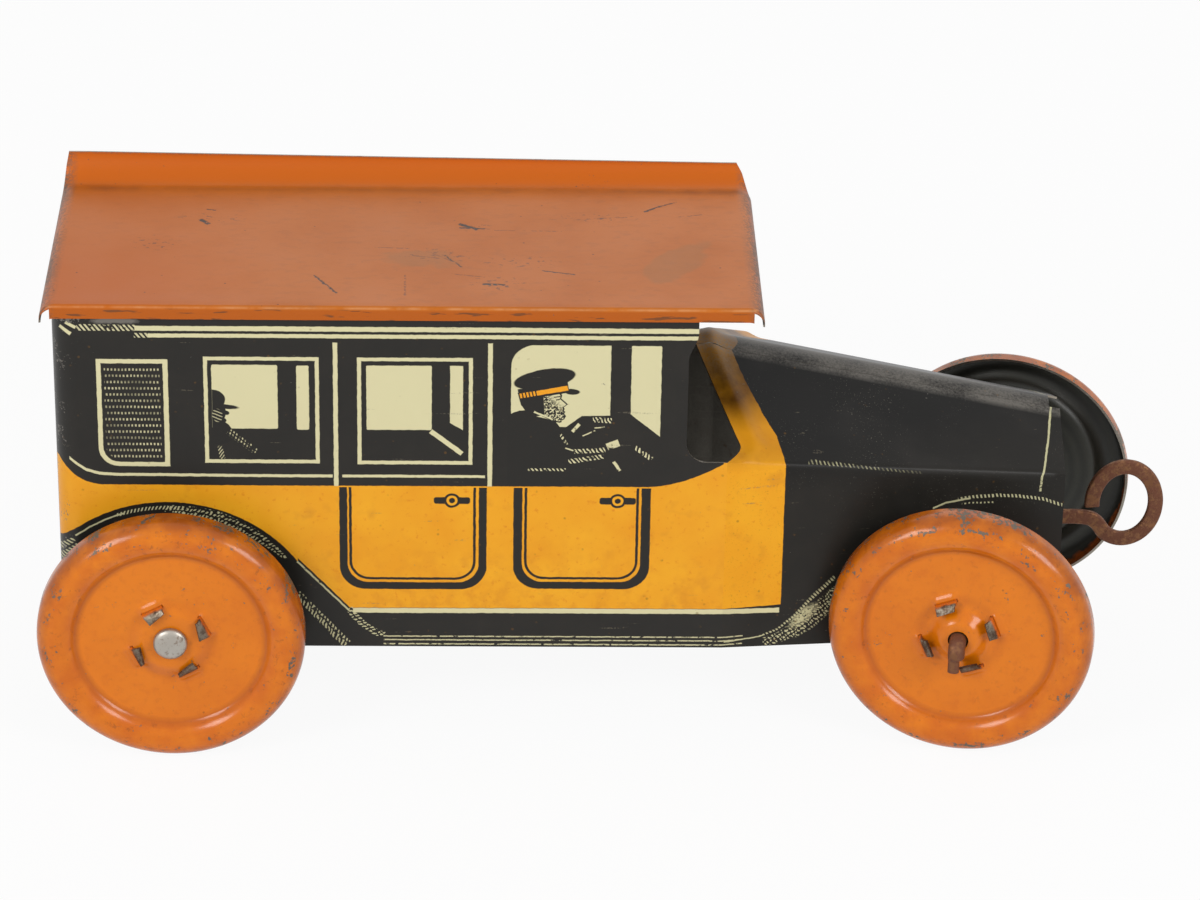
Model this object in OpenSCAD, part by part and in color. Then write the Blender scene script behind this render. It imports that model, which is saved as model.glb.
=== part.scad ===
// Lithographed tinplate toy taxi with a clockwork drive and a steering front axle.
// Millimetres, +X to the front of the car, +Y to its left side, +Z up, wheels standing on Z = 0.

/* [Wheels] */
// Outside diameter of a wheel
wheel_d = 63.5; // [58:0.5:66]
// Radius of the rounded, tyre-like rim
rim_r = 4.75; // [4:0.05:5.5]
// Depth of the rim's centre behind the flat disc
rim_set = 1.9; // [1:0.1:2.6]
// Width of the straight tread behind the rim
tread_w = 2.1; // [1:0.1:3]
// Thickness of the wheel's sheet
wheel_t = 0.6; // [0.4:0.05:0.8]
// Distance from the body's side to a front wheel's flat disc
front_wheel_out = 8.9; // [8.6:0.1:11]
// Distance from the body's side to a rear wheel's flat disc
rear_wheel_out = 11.9; // [11:0.1:13]
// Distance between the axles
wheelbase = 196.7; // [190:0.5:204]
// Height of the pressed boss of a front wheel
front_boss_h = 3; // [2:0.1:3.6]
// Height of the pressed boss of a rear wheel
rear_boss_h = 1.4; // [0.8:0.1:1.6]
// Radius of the pressed boss of a front wheel
front_boss_r = 7.6; // [7.2:0.1:8.2]
// Radius of the pressed boss of a rear wheel
rear_boss_r = 10.2; // [9.6:0.1:10.4]

/* [Hubs] */
// Radius at which the hub's tabs come through the disc
tab_r = 9.1; // [8.8:0.1:11]
// Width of a tab
tab_w = 5.5; // [4:0.1:6.5]
// Thickness of the hub's sheet
tab_t = 0.7; // [0.5:0.05:0.9]
// Length of a front hub's sleeve behind the disc
sleeve_l = 7.4; // [5:0.1:7.6]
// Turn of the tab pattern on the rear wheels
rear_tab_turn = 27; // [0:1:89]
// Turn of the tab pattern on the front wheels
front_tab_turn = 23; // [0:1:89]

/* [Axles] */
// Diameter of both axles
axle_d = 4; // [3.6:0.1:4.4]
// Diameter of the riveted head of the rear axle
head_d = 8; // [6:0.1:9]
// Height of the riveted head
head_h = 2.1; // [1.5:0.1:3]
// Length of the front axle's bent end
bend_l = 7.5; // [5:0.1:10]
// Swivel of the front axle, negative towards the right side
steer_deg = -12.2; // [-12.2:0.1:12.2]

/* [Cab] */
// Thickness of the body's sheet
sheet_t = 0.5; // [0.4:0.05:0.7]
// Width of the body over its sides
body_w = 72; // [70:0.2:74]
// Height of the body's bottom edge above the ground
body_z = 23.4; // [22.6:0.1:24.2]
// Height of the body's sides
body_h = 89.8; // [86:0.2:96]
// Distance from the rear axle to the back
rear_over = 26.8; // [24:0.1:29]
// Radius of the rounded back corners
corner_r = 6; // [4:0.1:8]
// Distance from the rear axle to the front edge of the cab wall
post_x = 121.3; // [118:0.1:123]
// Radius of the corners of the windscreen opening
post_r = 5; // [3:0.1:6]

/* [Bonnet] */
// Distance from the rear axle to where the sides start to narrow
taper_x = 131; // [130.5:0.1:134]
// Distance from the front axle to the bonnet's front edge
nose_over = 16.3; // [14:0.1:18]
// Width over the bonnet's front edge
nose_w = 43.2; // [42.4:0.1:46]
// Height of the bonnet's side crease at the cowl
crease_rear_z = 73.4; // [71:0.1:76]
// Height of the bonnet's side crease at the nose
crease_front_z = 63.3; // [61:0.1:66]
// Height of the ridge's edge at the cowl
ridge_rear_z = 87.7; // [85:0.1:91]
// Height of the ridge's edge at the nose
ridge_front_z = 71.6; // [70:0.1:76]
// Width of the rounded ridge strip at the cowl
ridge_w = 8; // [6:0.1:10]
// Width of the rounded ridge strip at the nose
ridge_front_w = 6.2; // [5:0.1:8]
// Rise of the ridge strip above its edges
ridge_rise = 0.9; // [0.4:0.1:2]
// Drop of the bottom edge towards the nose
nose_drop = 4; // [0:0.1:4.5]
// Sweep of the cowl's edge back towards the ridge
cowl_sweep = 10; // [6:0.1:11]
// Height of the bead pressed along the cowl's edge
bead_h = 1.1; // [0.4:0.1:2.2]

/* [Roof] */
// Distance from the rear axle to the front end of the roof
roof_front_x = 138.7; // [136:0.1:142]
// Distance from the rear axle to the rear end of the roof
roof_back = 29.2; // [28.6:0.1:32]
// Radius of the lips curled down at both ends
lip_r = 3.6; // [2.5:0.1:4.5]
// Depth of the flange on the right side
flange_h = 3.4; // [2:0.1:5]
// Height of the edge turned up on the left side, at the back
strip_h = 6.4; // [4:0.1:8]
// Height of the edge turned up on the left side, at the front
strip_front_h = 4.5; // [3:0.1:8]

/* [Key] */
// Height of the winding arbor above the ground
key_z = 40.4; // [40:0.1:41.4]
// Width of the key's steel strip
key_w = 3.7; // [3.2:0.1:4.2]
// Thickness of the key's steel strip
key_t = 1.6; // [1.2:0.1:2]
// Distance from the nose to the middle of the key's loop
loop_out = 17.7; // [16.5:0.1:20]
// Height of the middle of the loop above the arbor
loop_up = 3.9; // [3:0.1:4.6]
// Half length of the loop, along the car
loop_a = 7.8; // [7.2:0.1:9]
// Half height of the loop
loop_b = 9.9; // [9.2:0.1:11]

/* [Clockwork] */
// Tooth module of all the gears
gear_m = 0.9; // [0.86:0.01:0.94]
// Teeth of the great wheel
great_teeth = 32; // [28:4:32]
// Teeth of each pinion
pinion_teeth = 10; // [10:2:12]
// Teeth of the crown wheel
crown_teeth = 20; // [16:4:20]
// Teeth of the ratchet wheel
ratchet_teeth = 12; // [8:4:16]
// Diameter of the winding arbor
arbor_d = 4.4; // [4:0.1:4.8]
// Diameter of the drive shaft
shaft_d = 3.5; // [3:0.1:3.8]
// Distance from the rear axle to the rear motor plate
motor_x = 92; // [88:0.5:94]
// Distance between the motor plates
motor_l = 30; // [29:0.5:31]
// Thickness of the motor plates
plate_t = 1; // [0.8:0.1:1.2]
// Width of the motor plates
plate_w = 48; // [46:0.5:54]
// Height of the motor plates above the base plate
plate_h = 36; // [35:0.5:42]
// Diameter of the motor pillars
pillar_d = 3.2; // [2.6:0.1:4]
// Width of the mainspring's strip
spring_w = 12; // [9:0.5:14]
// Thickness of the mainspring's strip
spring_t = 0.45; // [0.3:0.05:0.6]
// Turns of the mainspring
spring_turns = 7; // [5:1:8]
// Thickness of the base plate
base_t = 0.6; // [0.4:0.05:0.8]

/* [Fits] */
// Radial clearance of a running fit
run_gap = 0.05; // [0.02:0.01:0.1]
// Gap between pieces that only lie side by side
seat_gap = 0.1; // [0.05:0.01:0.2]
// Gap between pieces that move past each other
pass_gap = 0.3; // [0.2:0.05:0.5]

/* [Hidden] */
$fn = 48;
tin_orange = [0.86, 0.46, 0.12];
tin_black = [0.16, 0.15, 0.14];
tin_yellow = [0.92, 0.65, 0.18];
steel = [0.55, 0.55, 0.56];
rust = [0.37, 0.24, 0.18];
brass = [0.75, 0.62, 0.32];

// Heights and half widths that several pieces share
wheel_r = wheel_d / 2;
axle_r = axle_d / 2;
axle_z = wheel_r;
half_w = body_w / 2;
front_disc_y = half_w + front_wheel_out;
rear_disc_y = half_w + rear_wheel_out;
rear_sleeve_l = sleeve_l + rear_wheel_out - front_wheel_out;
body_top = body_z + body_h;
base_top = body_z + base_t;
nose_x = wheelbase + nose_over;
key_reach = nose_x + loop_out + loop_a + key_w / 2;
rear_axle_x = (wheel_r - key_reach) / 2;

// Steering: the yoke hangs under the bolster, just above the axle
yoke_t = 0.8;
yoke_l = 9;
ear_y = 20;
rivet_r = 1.5;
rivet_head_r = 3;
rivet_head_h = 0.8;
yoke_z = axle_z + axle_r + seat_gap + rivet_head_h;
bolster_t = 0.8;
bolster_l = 13;
bolster_z = yoke_z + yoke_t + seat_gap;
notch_half = (half_w - 9) * tan(12.2) + axle_r + 0.8;

// Gear train: great wheel on the arbor, pinion and pinion on the shaft, crown wheel on the rear axle
great_r = gear_m * great_teeth / 2;
pinion_r = gear_m * pinion_teeth / 2;
crown_r = gear_m * crown_teeth / 2;
shaft_r = shaft_d / 2;
arbor_r = arbor_d / 2;
mesh_gap = 0.15;
gear_t = 2.2;
crown_face = 2.4;
centre_l = great_r + pinion_r + mesh_gap;
shaft_y = sqrt(pow(centre_l, 2) - pow(key_z - axle_z, 2));
crown_y = shaft_y - pinion_r - mesh_gap;
crown_disc_t = 1.2;
great_x = motor_x + plate_t + pass_gap;
spring_x = great_x + gear_t + 2;
post_r_pin = 0.8;
spring_out_r = great_r - 1.4 * gear_m - 2 * post_r_pin;
front_plate_x = motor_x + motor_l;
ratchet_x = front_plate_x + plate_t + pass_gap;
ratchet_r = 7;
ratchet_t = 1.6;
nose_set = 5.5;
nose_plate_x = nose_x - nose_set;
collar_x = nose_plate_x + sheet_t + pass_gap;
collar_r = arbor_r + 1.1;
collar_l = 3.4;
slot_set = 1;
arbor_end = 1.5;
hanger_gap = 4;
hanger_x = crown_r + crown_face / 2 + hanger_gap;

// General helpers
function mix(a, b, f) = a + (b - a) * f;
function clamp01(f) = max(0, min(1, f));
function unit(v) = v / norm(v);
function turned(v) = [-v[1], v[0]];
function reversed(p) = [for (i = [len(p) - 1:-1:0]) p[i]];

// Normal of a flat path at one of its points
function path_normal(p, i) = unit(turned(p[min(i + 1, len(p) - 1)] - p[max(i - 1, 0)]));

// Outline of a strip that lies between two distances from a path
function ribbon(p, near, far) = concat(
    [for (i = [0:len(p) - 1]) p[i] + near * path_normal(p, i)],
    reversed([for (i = [0:len(p) - 1]) p[i] + far * path_normal(p, i)])
);

// Plates: across the car from x0 forwards, or along the car from y0 to the left
module across(x0, t) {
    translate([x0, 0, 0]) rotate([90, 0, 90]) linear_extrude(t) children();
}

module along(y0, t) {
    translate([0, y0 + t, 0]) rotate([90, 0, 0]) linear_extrude(t) children();
}

// Rod along the car or across it
module rod_x(x0, x1, r) {
    translate([x0, 0, 0]) rotate([0, 90, 0]) cylinder(r = r, h = x1 - x0);
}

module rod_y(y0, y1, r) {
    translate([0, y0, 0]) rotate([-90, 0, 0]) cylinder(r = r, h = y1 - y0);
}

module place() {
    translate([rear_axle_x, 0, 0]) children();
}

module steered() {
    translate([rear_axle_x + wheelbase, 0, 0]) rotate([0, 0, steer_deg]) children();
}

// Sheet of even thickness under a grid of points, one list for each row
function grid_normal(p, i, j, flip) =
    let (a = p[min(i + 1, len(p) - 1)][j] - p[max(i - 1, 0)][j])
    let (b = p[i][min(j + 1, len(p[0]) - 1)] - p[i][max(j - 1, 0)])
    flip * unit(cross(a, b));

module sheet(p, t, flip = 1) {
    ni = len(p);
    nj = len(p[0]);
    n = ni * nj;
    top = [for (row = p) for (q = row) q];
    under = [for (i = [0:ni - 1]) for (j = [0:nj - 1]) p[i][j] - t * grid_normal(p, i, j, flip)];
    cells = [for (i = [0:ni - 2]) for (j = [0:nj - 2]) i * nj + j];
    upper = [for (k = cells) each [[k, k + 1, k + nj + 1], [k, k + nj + 1, k + nj]]];
    lower = [for (f = upper) [f[2] + n, f[1] + n, f[0] + n]];
    rim = concat(
        [for (j = [0:nj - 1]) j],
        [for (i = [1:ni - 1]) i * nj + nj - 1],
        [for (j = [nj - 2:-1:0]) (ni - 1) * nj + j],
        [for (i = [ni - 2:-1:1]) i * nj]
    );
    m = len(rim);
    wall = [for (k = [0:m - 1]) each [
        [rim[k], rim[k] + n, rim[(k + 1) % m]],
        [rim[(k + 1) % m], rim[k] + n, rim[(k + 1) % m] + n]
    ]];
    faces = concat(upper, lower, wall);
    polyhedron(concat(top, under), [for (f = faces) flip > 0 ? f : reversed(f)], convexity = 6);
}

// Bonnet: a side that narrows to the nose, and a flat panel that rises from the crease to the ridge
stations = [0, 0.02, 0.045, 0.075, 0.12, 0.4, 0.7, 1];
bead = [0.2, 0.6, 1, 0.7, 0.15, 0, 0, 0];
panel_steps = 8;
edge_curl = 0.15;

function nose_part(x) = clamp01((x - taper_x) / (nose_x - taper_x));
function ridge_y(x) = mix(ridge_w, ridge_front_w, nose_part(x)) / 2;
function side_y(x) = mix(half_w, nose_w / 2, nose_part(x));
function crease_z(x) = mix(crease_rear_z, crease_front_z, nose_part(x));
function ridge_z(x) = mix(ridge_rear_z, ridge_front_z, (x - taper_x) / (nose_x - taper_x));
function bottom_z(x) = body_z - nose_drop * nose_part(x);

// Rear edge of the cowl: it leaves the side with a small curl, then sweeps back to the ridge
function cowl_x(g) = taper_x
    + 3.4 * sin(90 * clamp01(g / edge_curl))
    - cowl_sweep * clamp01((g - edge_curl) / (1 - edge_curl));

function side_point(k, low) =
    let (x = mix(taper_x - 0.8, nose_x, stations[k]))
    [x, -side_y(x), low ? bottom_z(x) : crease_z(x)];

function panel_point(k, g) =
    let (x = mix(cowl_x(g), nose_x, stations[k]))
    let (lift = bead_h * bead[k] * clamp01(g / edge_curl))
    [
        x,
        -mix(side_y(x), ridge_y(x), g) - 0.4 * lift,
        mix(crease_z(x), ridge_z(x), g) + 0.9 * lift
    ];

// Ridge strip: f runs from -1 at its own panel to 1 at the seam, and it stops short of the nose
function ridge_point(k, f) =
    let (x = mix(cowl_x(1), nose_x - 2.6, stations[k]))
    let (y = f * (ridge_y(x) - (f > 0 ? seat_gap : 0)))
    [x, y, ridge_z(x) + ridge_rise * (1 - f * f) + 0.9 * bead_h * bead[k]];

module bonnet_half(with_ridge) {
    ridge_rows = [-0.6, -0.2, 0.2, 0.6, 1];
    rows = [for (k = [0:len(stations) - 1]) concat(
        [side_point(k, true), side_point(k, false)],
        [for (s = [1:panel_steps]) panel_point(k, s / panel_steps)],
        with_ridge ? [for (f = ridge_rows) ridge_point(k, f)] : []
    )];
    sheet(rows, sheet_t, -1);
}

// Cab wall with the edge of the windscreen opening: sill, round corner and upright post
module cab_wall_outline(rear_rise, front_rise) {
    arc = [for (a = [270:-15:180]) [
        post_x + post_r + post_r * cos(a),
        crease_rear_z + post_r + post_r * sin(a)
    ]];
    polygon(concat(
        [[-rear_over + corner_r, body_z], [taper_x, body_z], [taper_x, crease_rear_z]],
        arc,
        [[post_x, body_top - 13], [post_x + 0.8, body_top - 8], [post_x + 2.2, body_top - 6]],
        [[post_x + 2.2, body_top + front_rise], [-rear_over + corner_r, body_top + rear_rise]]
    ));
}

// Tabs bent in from the sides, which hold the base plate down
module base_tabs() {
    tab_l = 8;
    tab_in = 3;
    for (x = [-rear_over + 2 * tab_l, (post_x - rear_over) / 2, post_x - tab_l]) {
        translate([x - tab_l / 2, -half_w + sheet_t - seat_gap, base_top]) cube([tab_l, tab_in, sheet_t]);
    }
}

// One side of the body: half of the back, a round corner, the cab wall and half of the bonnet.
// The left one stands up a little further, into the roof's turned-up edge
tuck = 0.4;

module body_half(with_ridge) {
    difference() {
        union() {
            along(-half_w, sheet_t)
                cab_wall_outline(with_ridge ? tuck * strip_h : 0, with_ridge ? tuck * strip_front_h : 0);
            translate([-rear_over + corner_r, -half_w + corner_r, body_z])
                rotate([0, 0, 180]) rotate_extrude(angle = 90)
                    translate([corner_r - sheet_t, 0]) square([sheet_t, body_h]);
            translate([-rear_over, -half_w + corner_r, body_z])
                cube([sheet_t, half_w - corner_r - seat_gap / 2, body_h]);
            bonnet_half(with_ridge);
            base_tabs();
        }
        translate([0, 0, axle_z]) rod_y(-half_w - 1, -half_w + 1, axle_r + run_gap);
        translate([wheelbase - notch_half, -half_w, 0])
            cube([2 * notch_half, half_w - nose_w / 2 + 6, bolster_z - seat_gap]);
    }
}

module right_side() {
    color(tin_yellow) place() body_half(false);
}

module left_side() {
    color(tin_yellow) place() mirror([0, 1, 0]) body_half(true);
}

// Roof: flat sheet, right edge bent down, left edge turned up, ends curled down
roof_z = body_top + sheet_t;
roof_y = half_w + sheet_t + seat_gap;
lip_steps = [90, 65, 40, 15, 0];
bend_r = sheet_t + seat_gap;
sweep_w = 6;
flange_in = 2.5;

function roof_section(f, h) =
    f < 0 ? [-roof_y + bend_r * (1 - cos(90 * (1 + f))), roof_z - bend_r * (1 - sin(90 * (1 + f)))]
    : f <= 1 ? [mix(-roof_y + bend_r, roof_y - sweep_w, f), roof_z]
    : [roof_y - sweep_w + sweep_w * sin(90 * (f - 1)), roof_z + h * pow(1 - cos(90 * (f - 1)), 0.8)];

// Along the roof: a lip at the back, the flat and a lip at the front, which fade out in the turned-up strip
function roof_station(k, f) =
    let (n = len(lip_steps))
    let (rear = k < n)
    let (a = rear ? lip_steps[k] : lip_steps[2 * n - 1 - k])
    let (fade = 1 - clamp01((f - 1) / 0.6))
    let (inset = (rear ? 1.6 : 3.6) * clamp01(f - 1))
    let (run = lip_r * sin(a))
    let (x = rear ? -roof_back + lip_r - run + inset : roof_front_x - lip_r + run - inset)
    [x, fade * lip_r * (1 - cos(a))];

module roof() {
    across_steps = [-1, -0.6, -0.3, 0, 0.33, 0.67, 1, 1.15, 1.3, 1.5, 1.75, 2];
    rows = [for (k = [0:2 * len(lip_steps) - 1]) [for (f = across_steps)
        let (s = roof_station(k, f))
        let (q = roof_section(f, k < len(lip_steps) ? strip_h : strip_front_h))
        [s[0], q[0], q[1] - s[1]]
    ]];
    color(tin_orange) place() union() {
        sheet(rows, sheet_t, 1);
        translate([-roof_back + flange_in, -roof_y, roof_z - flange_h])
            cube([roof_back + roof_front_x - 2 * flange_in, sheet_t, flange_h - bend_r + seat_gap]);
    }
}

// Plate that closes the bonnet a little behind its front edge and carries the arbor
module nose_plate() {
    x = nose_plate_x + sheet_t;
    lap = sheet_t + 2 * seat_gap;
    y = side_y(x) - lap;
    color(tin_black) place() difference() {
        across(nose_plate_x, sheet_t) polygon([
            [-y, bottom_z(x)], [y, bottom_z(x)],
            [y, crease_z(x) - lap], [ridge_y(x), ridge_z(x) - lap],
            [-ridge_y(x), ridge_z(x) - lap], [-y, crease_z(x) - lap]
        ]);
        translate([0, 0, key_z]) rod_x(nose_plate_x - 1, nose_plate_x + 1, arbor_r + run_gap);
    }
}

// Base plate between the sides, under their tabs, with a slot for the crown wheel
base_front_x = taper_x - 3;

module base_plate() {
    slot_l = 2 * (crown_r + crown_face / 2 + 1.5);
    slot_w = crown_disc_t + 2 * gear_m + 3;
    y = half_w - sheet_t;
    color(tin_black) place() difference() {
        translate([-rear_over + corner_r, -y, body_z])
            cube([rear_over - corner_r + base_front_x, 2 * y, base_t]);
        translate([-slot_l / 2, crown_y - crown_disc_t - 2.4, body_z - 1])
            cube([slot_l, slot_w, base_t + 2]);
    }
}

// Motor plate: chamfered sheet with a foot on the base plate and bores for arbor, shaft and pillars
pillar_at = [[-19, 31], [-19, 55], [19, 55]];

module motor_plate(x, foot_dir) {
    foot_l = 7;
    c = 5;
    top = base_top + plate_h;
    w = plate_w / 2;
    difference() {
        union() {
            across(x, plate_t) polygon([
                [-w, base_top], [w, base_top], [w, top - c], [w - c, top], [c - w, top], [-w, top - c]
            ]);
            translate([foot_dir > 0 ? x : x + plate_t - foot_l, -w, base_top])
                cube([foot_l, 2 * w, plate_t]);
        }
        translate([0, 0, key_z]) rod_x(x - 1, x + plate_t + 1, arbor_r + run_gap);
        translate([0, shaft_y, axle_z]) rod_x(x - 1, x + plate_t + 1, shaft_r + run_gap);
    }
}

module motor_rear_plate() {
    color(steel) place() motor_plate(motor_x, -1);
}

module motor_front_plate() {
    color(steel) place() difference() {
        motor_plate(front_plate_x, -1);
        translate(click_pivot) rod_x(-2, 2, click_pin_r + run_gap);
    }
}

module motor_pillars() {
    color(steel) place() for (p = pillar_at) {
        translate([0, p[0], p[1]]) rod_x(motor_x + plate_t, front_plate_x, pillar_d / 2);
    }
}

// Hanger on the base plate that carries the drive shaft's rear end
module shaft_hanger() {
    w = shaft_d + 5;
    color(steel) place() difference() {
        union() {
            translate([hanger_x, shaft_y - w / 2, base_top]) cube([plate_t, w, axle_z + w / 2 - base_top]);
            translate([hanger_x, shaft_y - w / 2, base_top]) cube([8, w, plate_t]);
        }
        translate([0, shaft_y, axle_z]) rod_x(hanger_x - 1, hanger_x + 2, shaft_r + run_gap);
    }
}

// Bolster strap between the bonnet's sides, which carries the steering rivet
module bolster() {
    x0 = wheelbase - bolster_l / 2;
    x1 = wheelbase + bolster_l / 2;
    lap = sheet_t + 2 * seat_gap;
    y0 = side_y(x0) - lap;
    y1 = side_y(x1) - lap;
    color(steel) place() difference() {
        translate([0, 0, bolster_z]) linear_extrude(bolster_t)
            polygon([[x0, -y0], [x1, -y1], [x1, y1], [x0, y0]]);
        translate([wheelbase, 0, bolster_z - 1]) cylinder(r = rivet_r + run_gap, h = 4);
    }
}

// Ratchet wheel on the arbor, with a click that lies in one of its gaps
ratchet_depth = 1.3;
ratchet_step = 360 / ratchet_teeth;
click_pin_r = 1;
click_l = 9;
click_pivot = [front_plate_x, ratchet_r * cos(60) - click_l, key_z + ratchet_r + 1.5];

module ratchet_wheel() {
    points = [for (i = [0:ratchet_teeth - 1]) each [
        ratchet_r * [cos(60 + i * ratchet_step), sin(60 + i * ratchet_step)],
        (ratchet_r - ratchet_depth) * [cos(64 + i * ratchet_step), sin(64 + i * ratchet_step)]
    ]];
    color(steel) place() difference() {
        translate([0, 0, key_z]) across(ratchet_x, ratchet_t) polygon(points);
        translate([0, 0, key_z]) rod_x(ratchet_x - 1, ratchet_x + 3, arbor_r);
    }
}

module click() {
    nose = [click_l - 1.15, -1.45 - ratchet_depth];
    color(steel) place() translate(click_pivot) translate([ratchet_x - front_plate_x, 0, 0]) difference() {
        rotate([90, 0, 90]) linear_extrude(ratchet_t) union() {
            circle(r = 2.2);
            polygon([
                [0, -1.1], [click_l - 2.5, -1.1], nose, [click_l - 0.4, -0.6], [click_l - 1.5, 1.2], [0, 2]
            ]);
        }
        rod_x(-1, 3, click_pin_r + run_gap);
    }
}

module click_rivet() {
    head_x = ratchet_x + ratchet_t + seat_gap;
    color(steel) place() translate([0, click_pivot[1], click_pivot[2]]) {
        rod_x(front_plate_x, head_x + 0.8, click_pin_r);
        rod_x(head_x, head_x + 0.8, click_pin_r + 1);
    }
}

// Thin leaf that keeps the click down, with its foot on the front motor plate
module click_spring() {
    y = click_pivot[1];
    z = click_pivot[2];
    path = [[y - 9, z + 3.6], [y - 4, z + 3.6], [y, z + 3.4], [y + 5, z + 3]];
    x = front_plate_x + plate_t;
    color(steel) place() union() {
        across(ratchet_x, ratchet_t) polygon(ribbon(path, 0, 0.4));
        translate([x, y - 11, z + 2.6]) cube([ratchet_x + ratchet_t - x, 2.4, 2.4]);
    }
}

// Winding arbor with a slotted collar in front of the nose plate
module winding_arbor() {
    color(steel) place() translate([0, 0, key_z]) difference() {
        union() {
            rod_x(motor_x - arbor_end, collar_x + slot_set, arbor_r);
            rod_x(collar_x, collar_x + collar_l, collar_r);
        }
        translate([collar_x + slot_set, -key_t / 2 - run_gap, -key_w / 2 - run_gap])
            cube([collar_l, key_t + 2 * run_gap, key_w + 2 * run_gap]);
    }
}

// Key: flat strip that leaves the arbor, dips into an oval loop and ends just above its own stem
loop_start = -126;
loop_end = 187;

module winding_key() {
    c = [nose_x + loop_out, key_z + loop_up];
    stem = [
        [collar_x + slot_set, key_z],
        [c[0] - loop_a - 0.6 * key_w, key_z],
        [c[0] - loop_a + 0.25 * key_w, key_z - 0.2 * key_w]
    ];
    loop = [for (a = [loop_start:10:loop_end]) c + [loop_a * cos(a), loop_b * sin(a)]];
    path = concat(stem, loop, [c + [loop_a * cos(loop_end), loop_b * sin(loop_end)]]);
    color(rust) place() along(-key_t / 2, key_t) polygon(ribbon(path, -key_w / 2, key_w / 2));
}

// Spur gear with straight-sided teeth, the first one on the +X axis or, turned, half a pitch on
function gear_points(teeth, r, turn) =
    let (step = 360 / teeth)
    let (tip = r + 0.85 * gear_m)
    let (root = r - 1.15 * gear_m)
    [for (i = [0:teeth - 1]) each [
        for (q = [[root, -0.31], [r, -0.22], [tip, -0.11], [tip, 0.11], [r, 0.22], [root, 0.31]])
            q[0] * [cos(turn + step * (i + q[1])), sin(turn + step * (i + q[1]))]
    ]];

// Direction from the drive shaft to the arbor, along which the great wheel and its pinion mesh
mesh_dir = atan2(key_z - axle_z, -shaft_y);

module great_wheel() {
    color(brass) place() translate([0, 0, key_z]) difference() {
        across(great_x, gear_t)
            polygon(gear_points(great_teeth, great_r, mesh_dir + 180 + 180 / great_teeth));
        rod_x(great_x - 1, great_x + gear_t + 1, arbor_r + run_gap);
    }
}

// Post on the great wheel that holds the mainspring's outer end
post_at = spring_out_r + post_r_pin;

module spring_post() {
    color(steel) place() translate([0, 0, key_z + post_at])
        rod_x(great_x + gear_t, spring_x + spring_w, post_r_pin);
}

// Mainspring: flat strip wound from the arbor out to the post
module mainspring() {
    r0 = arbor_r + pass_gap;
    r1 = spring_out_r - spring_t;
    steps = 24 * spring_turns;
    path = [for (i = [0:steps])
        let (a = 90 + 360 * spring_turns * (i / steps - 1))
        mix(r0, r1, i / steps) * [cos(a), sin(a)]
    ];
    color(steel) place() translate([0, 0, key_z]) across(spring_x, spring_w)
        polygon(ribbon(path, 0, -spring_t));
}

// Drive shaft with a pinion at each end
module drive_shaft() {
    color(steel) place() translate([0, shaft_y, axle_z]) rod_x(crown_r - 3, front_plate_x + 2, shaft_r);
}

module shaft_pinion(x, l, turn) {
    translate([0, shaft_y, axle_z]) difference() {
        across(x, l) polygon(gear_points(pinion_teeth, pinion_r, turn));
        rod_x(x - 1, x + l + 1, shaft_r);
    }
}

module motor_pinion() {
    color(brass) place() shaft_pinion(great_x, gear_t + 1, mesh_dir);
}

module axle_pinion() {
    color(brass) place() shaft_pinion(crown_r - crown_face / 2, crown_face, 180);
}

// Rear axle with a domed head outside each wheel
module rear_axle() {
    y = rear_disc_y + rear_boss_h + seat_gap;
    color(steel) place() translate([0, 0, axle_z]) union() {
        rod_y(-y, y, axle_r);
        for (side = [-1, 1]) {
            rotate([-90 * side, 0, 0]) translate([0, 0, y]) rotate_extrude() polygon([
                [0, 0], [head_d / 2, 0], [head_d / 2, 0.35 * head_h],
                [0.38 * head_d, 0.75 * head_h], [0.2 * head_d, head_h], [0, head_h]
            ]);
        }
    }
}

// Crown wheel: disc with teeth that stand out of its left face, half a pitch off the shaft's plane
module crown_wheel() {
    step = 360 / crown_teeth;
    root_y = crown_y - 1.15 * gear_m;
    tip_y = crown_y + 0.85 * gear_m;
    rim = crown_r + crown_face / 2;
    boss_l = 3;
    boss_t = 1.6;
    foot = 0.83 * gear_m;
    crest = 0.39 * gear_m;
    sunk = root_y - 0.2;
    tooth = [[sunk, -foot], [sunk, foot], [tip_y, crest], [tip_y, -crest]];
    color(brass) place() translate([0, 0, axle_z]) difference() {
        union() {
            rod_y(root_y - crown_disc_t, root_y, rim);
            rod_y(root_y - crown_disc_t - boss_l, root_y, axle_r + boss_t);
            for (i = [0:crown_teeth - 1]) {
                rotate([0, (i + 0.5) * step, 0]) translate([crown_r - crown_face / 2, 0, 0])
                    rotate([90, 0, 90]) linear_extrude(crown_face) polygon(tooth);
            }
        }
        rod_y(root_y - crown_disc_t - boss_l - 1, tip_y, axle_r);
    }
}

// Wheel dish: flat disc with a pressed boss, and a rounded rim that ends in a straight tread
rim_c = wheel_r - rim_r;
rim_foot = 180 - asin(rim_set / rim_r);

module wheel_dish(boss_h, boss_r, tab_turn) {
    arc = [for (i = [0:10])
        let (a = rim_foot * (1 - i / 10))
        [rim_c + rim_r * cos(a), -rim_set + rim_r * sin(a)]
    ];
    face = concat(
        [[axle_r + 0.45, boss_h], [boss_r - 3.6, boss_h], [boss_r - 2, 0.72 * boss_h]],
        [[boss_r - 1, 0.25 * boss_h], [boss_r, 0]],
        arc,
        [[wheel_r, -rim_set - tread_w]]
    );
    difference() {
        rotate_extrude() polygon(ribbon(face, 0, -wheel_t));
        for (i = [0:3]) {
            rotate([0, 0, tab_turn + 90 * i])
                translate([tab_r - tab_t / 2 - seat_gap, -tab_w / 2 - seat_gap, -2])
                cube([tab_t + 2 * seat_gap, tab_w + 2 * seat_gap, 4]);
        }
    }
}

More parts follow.
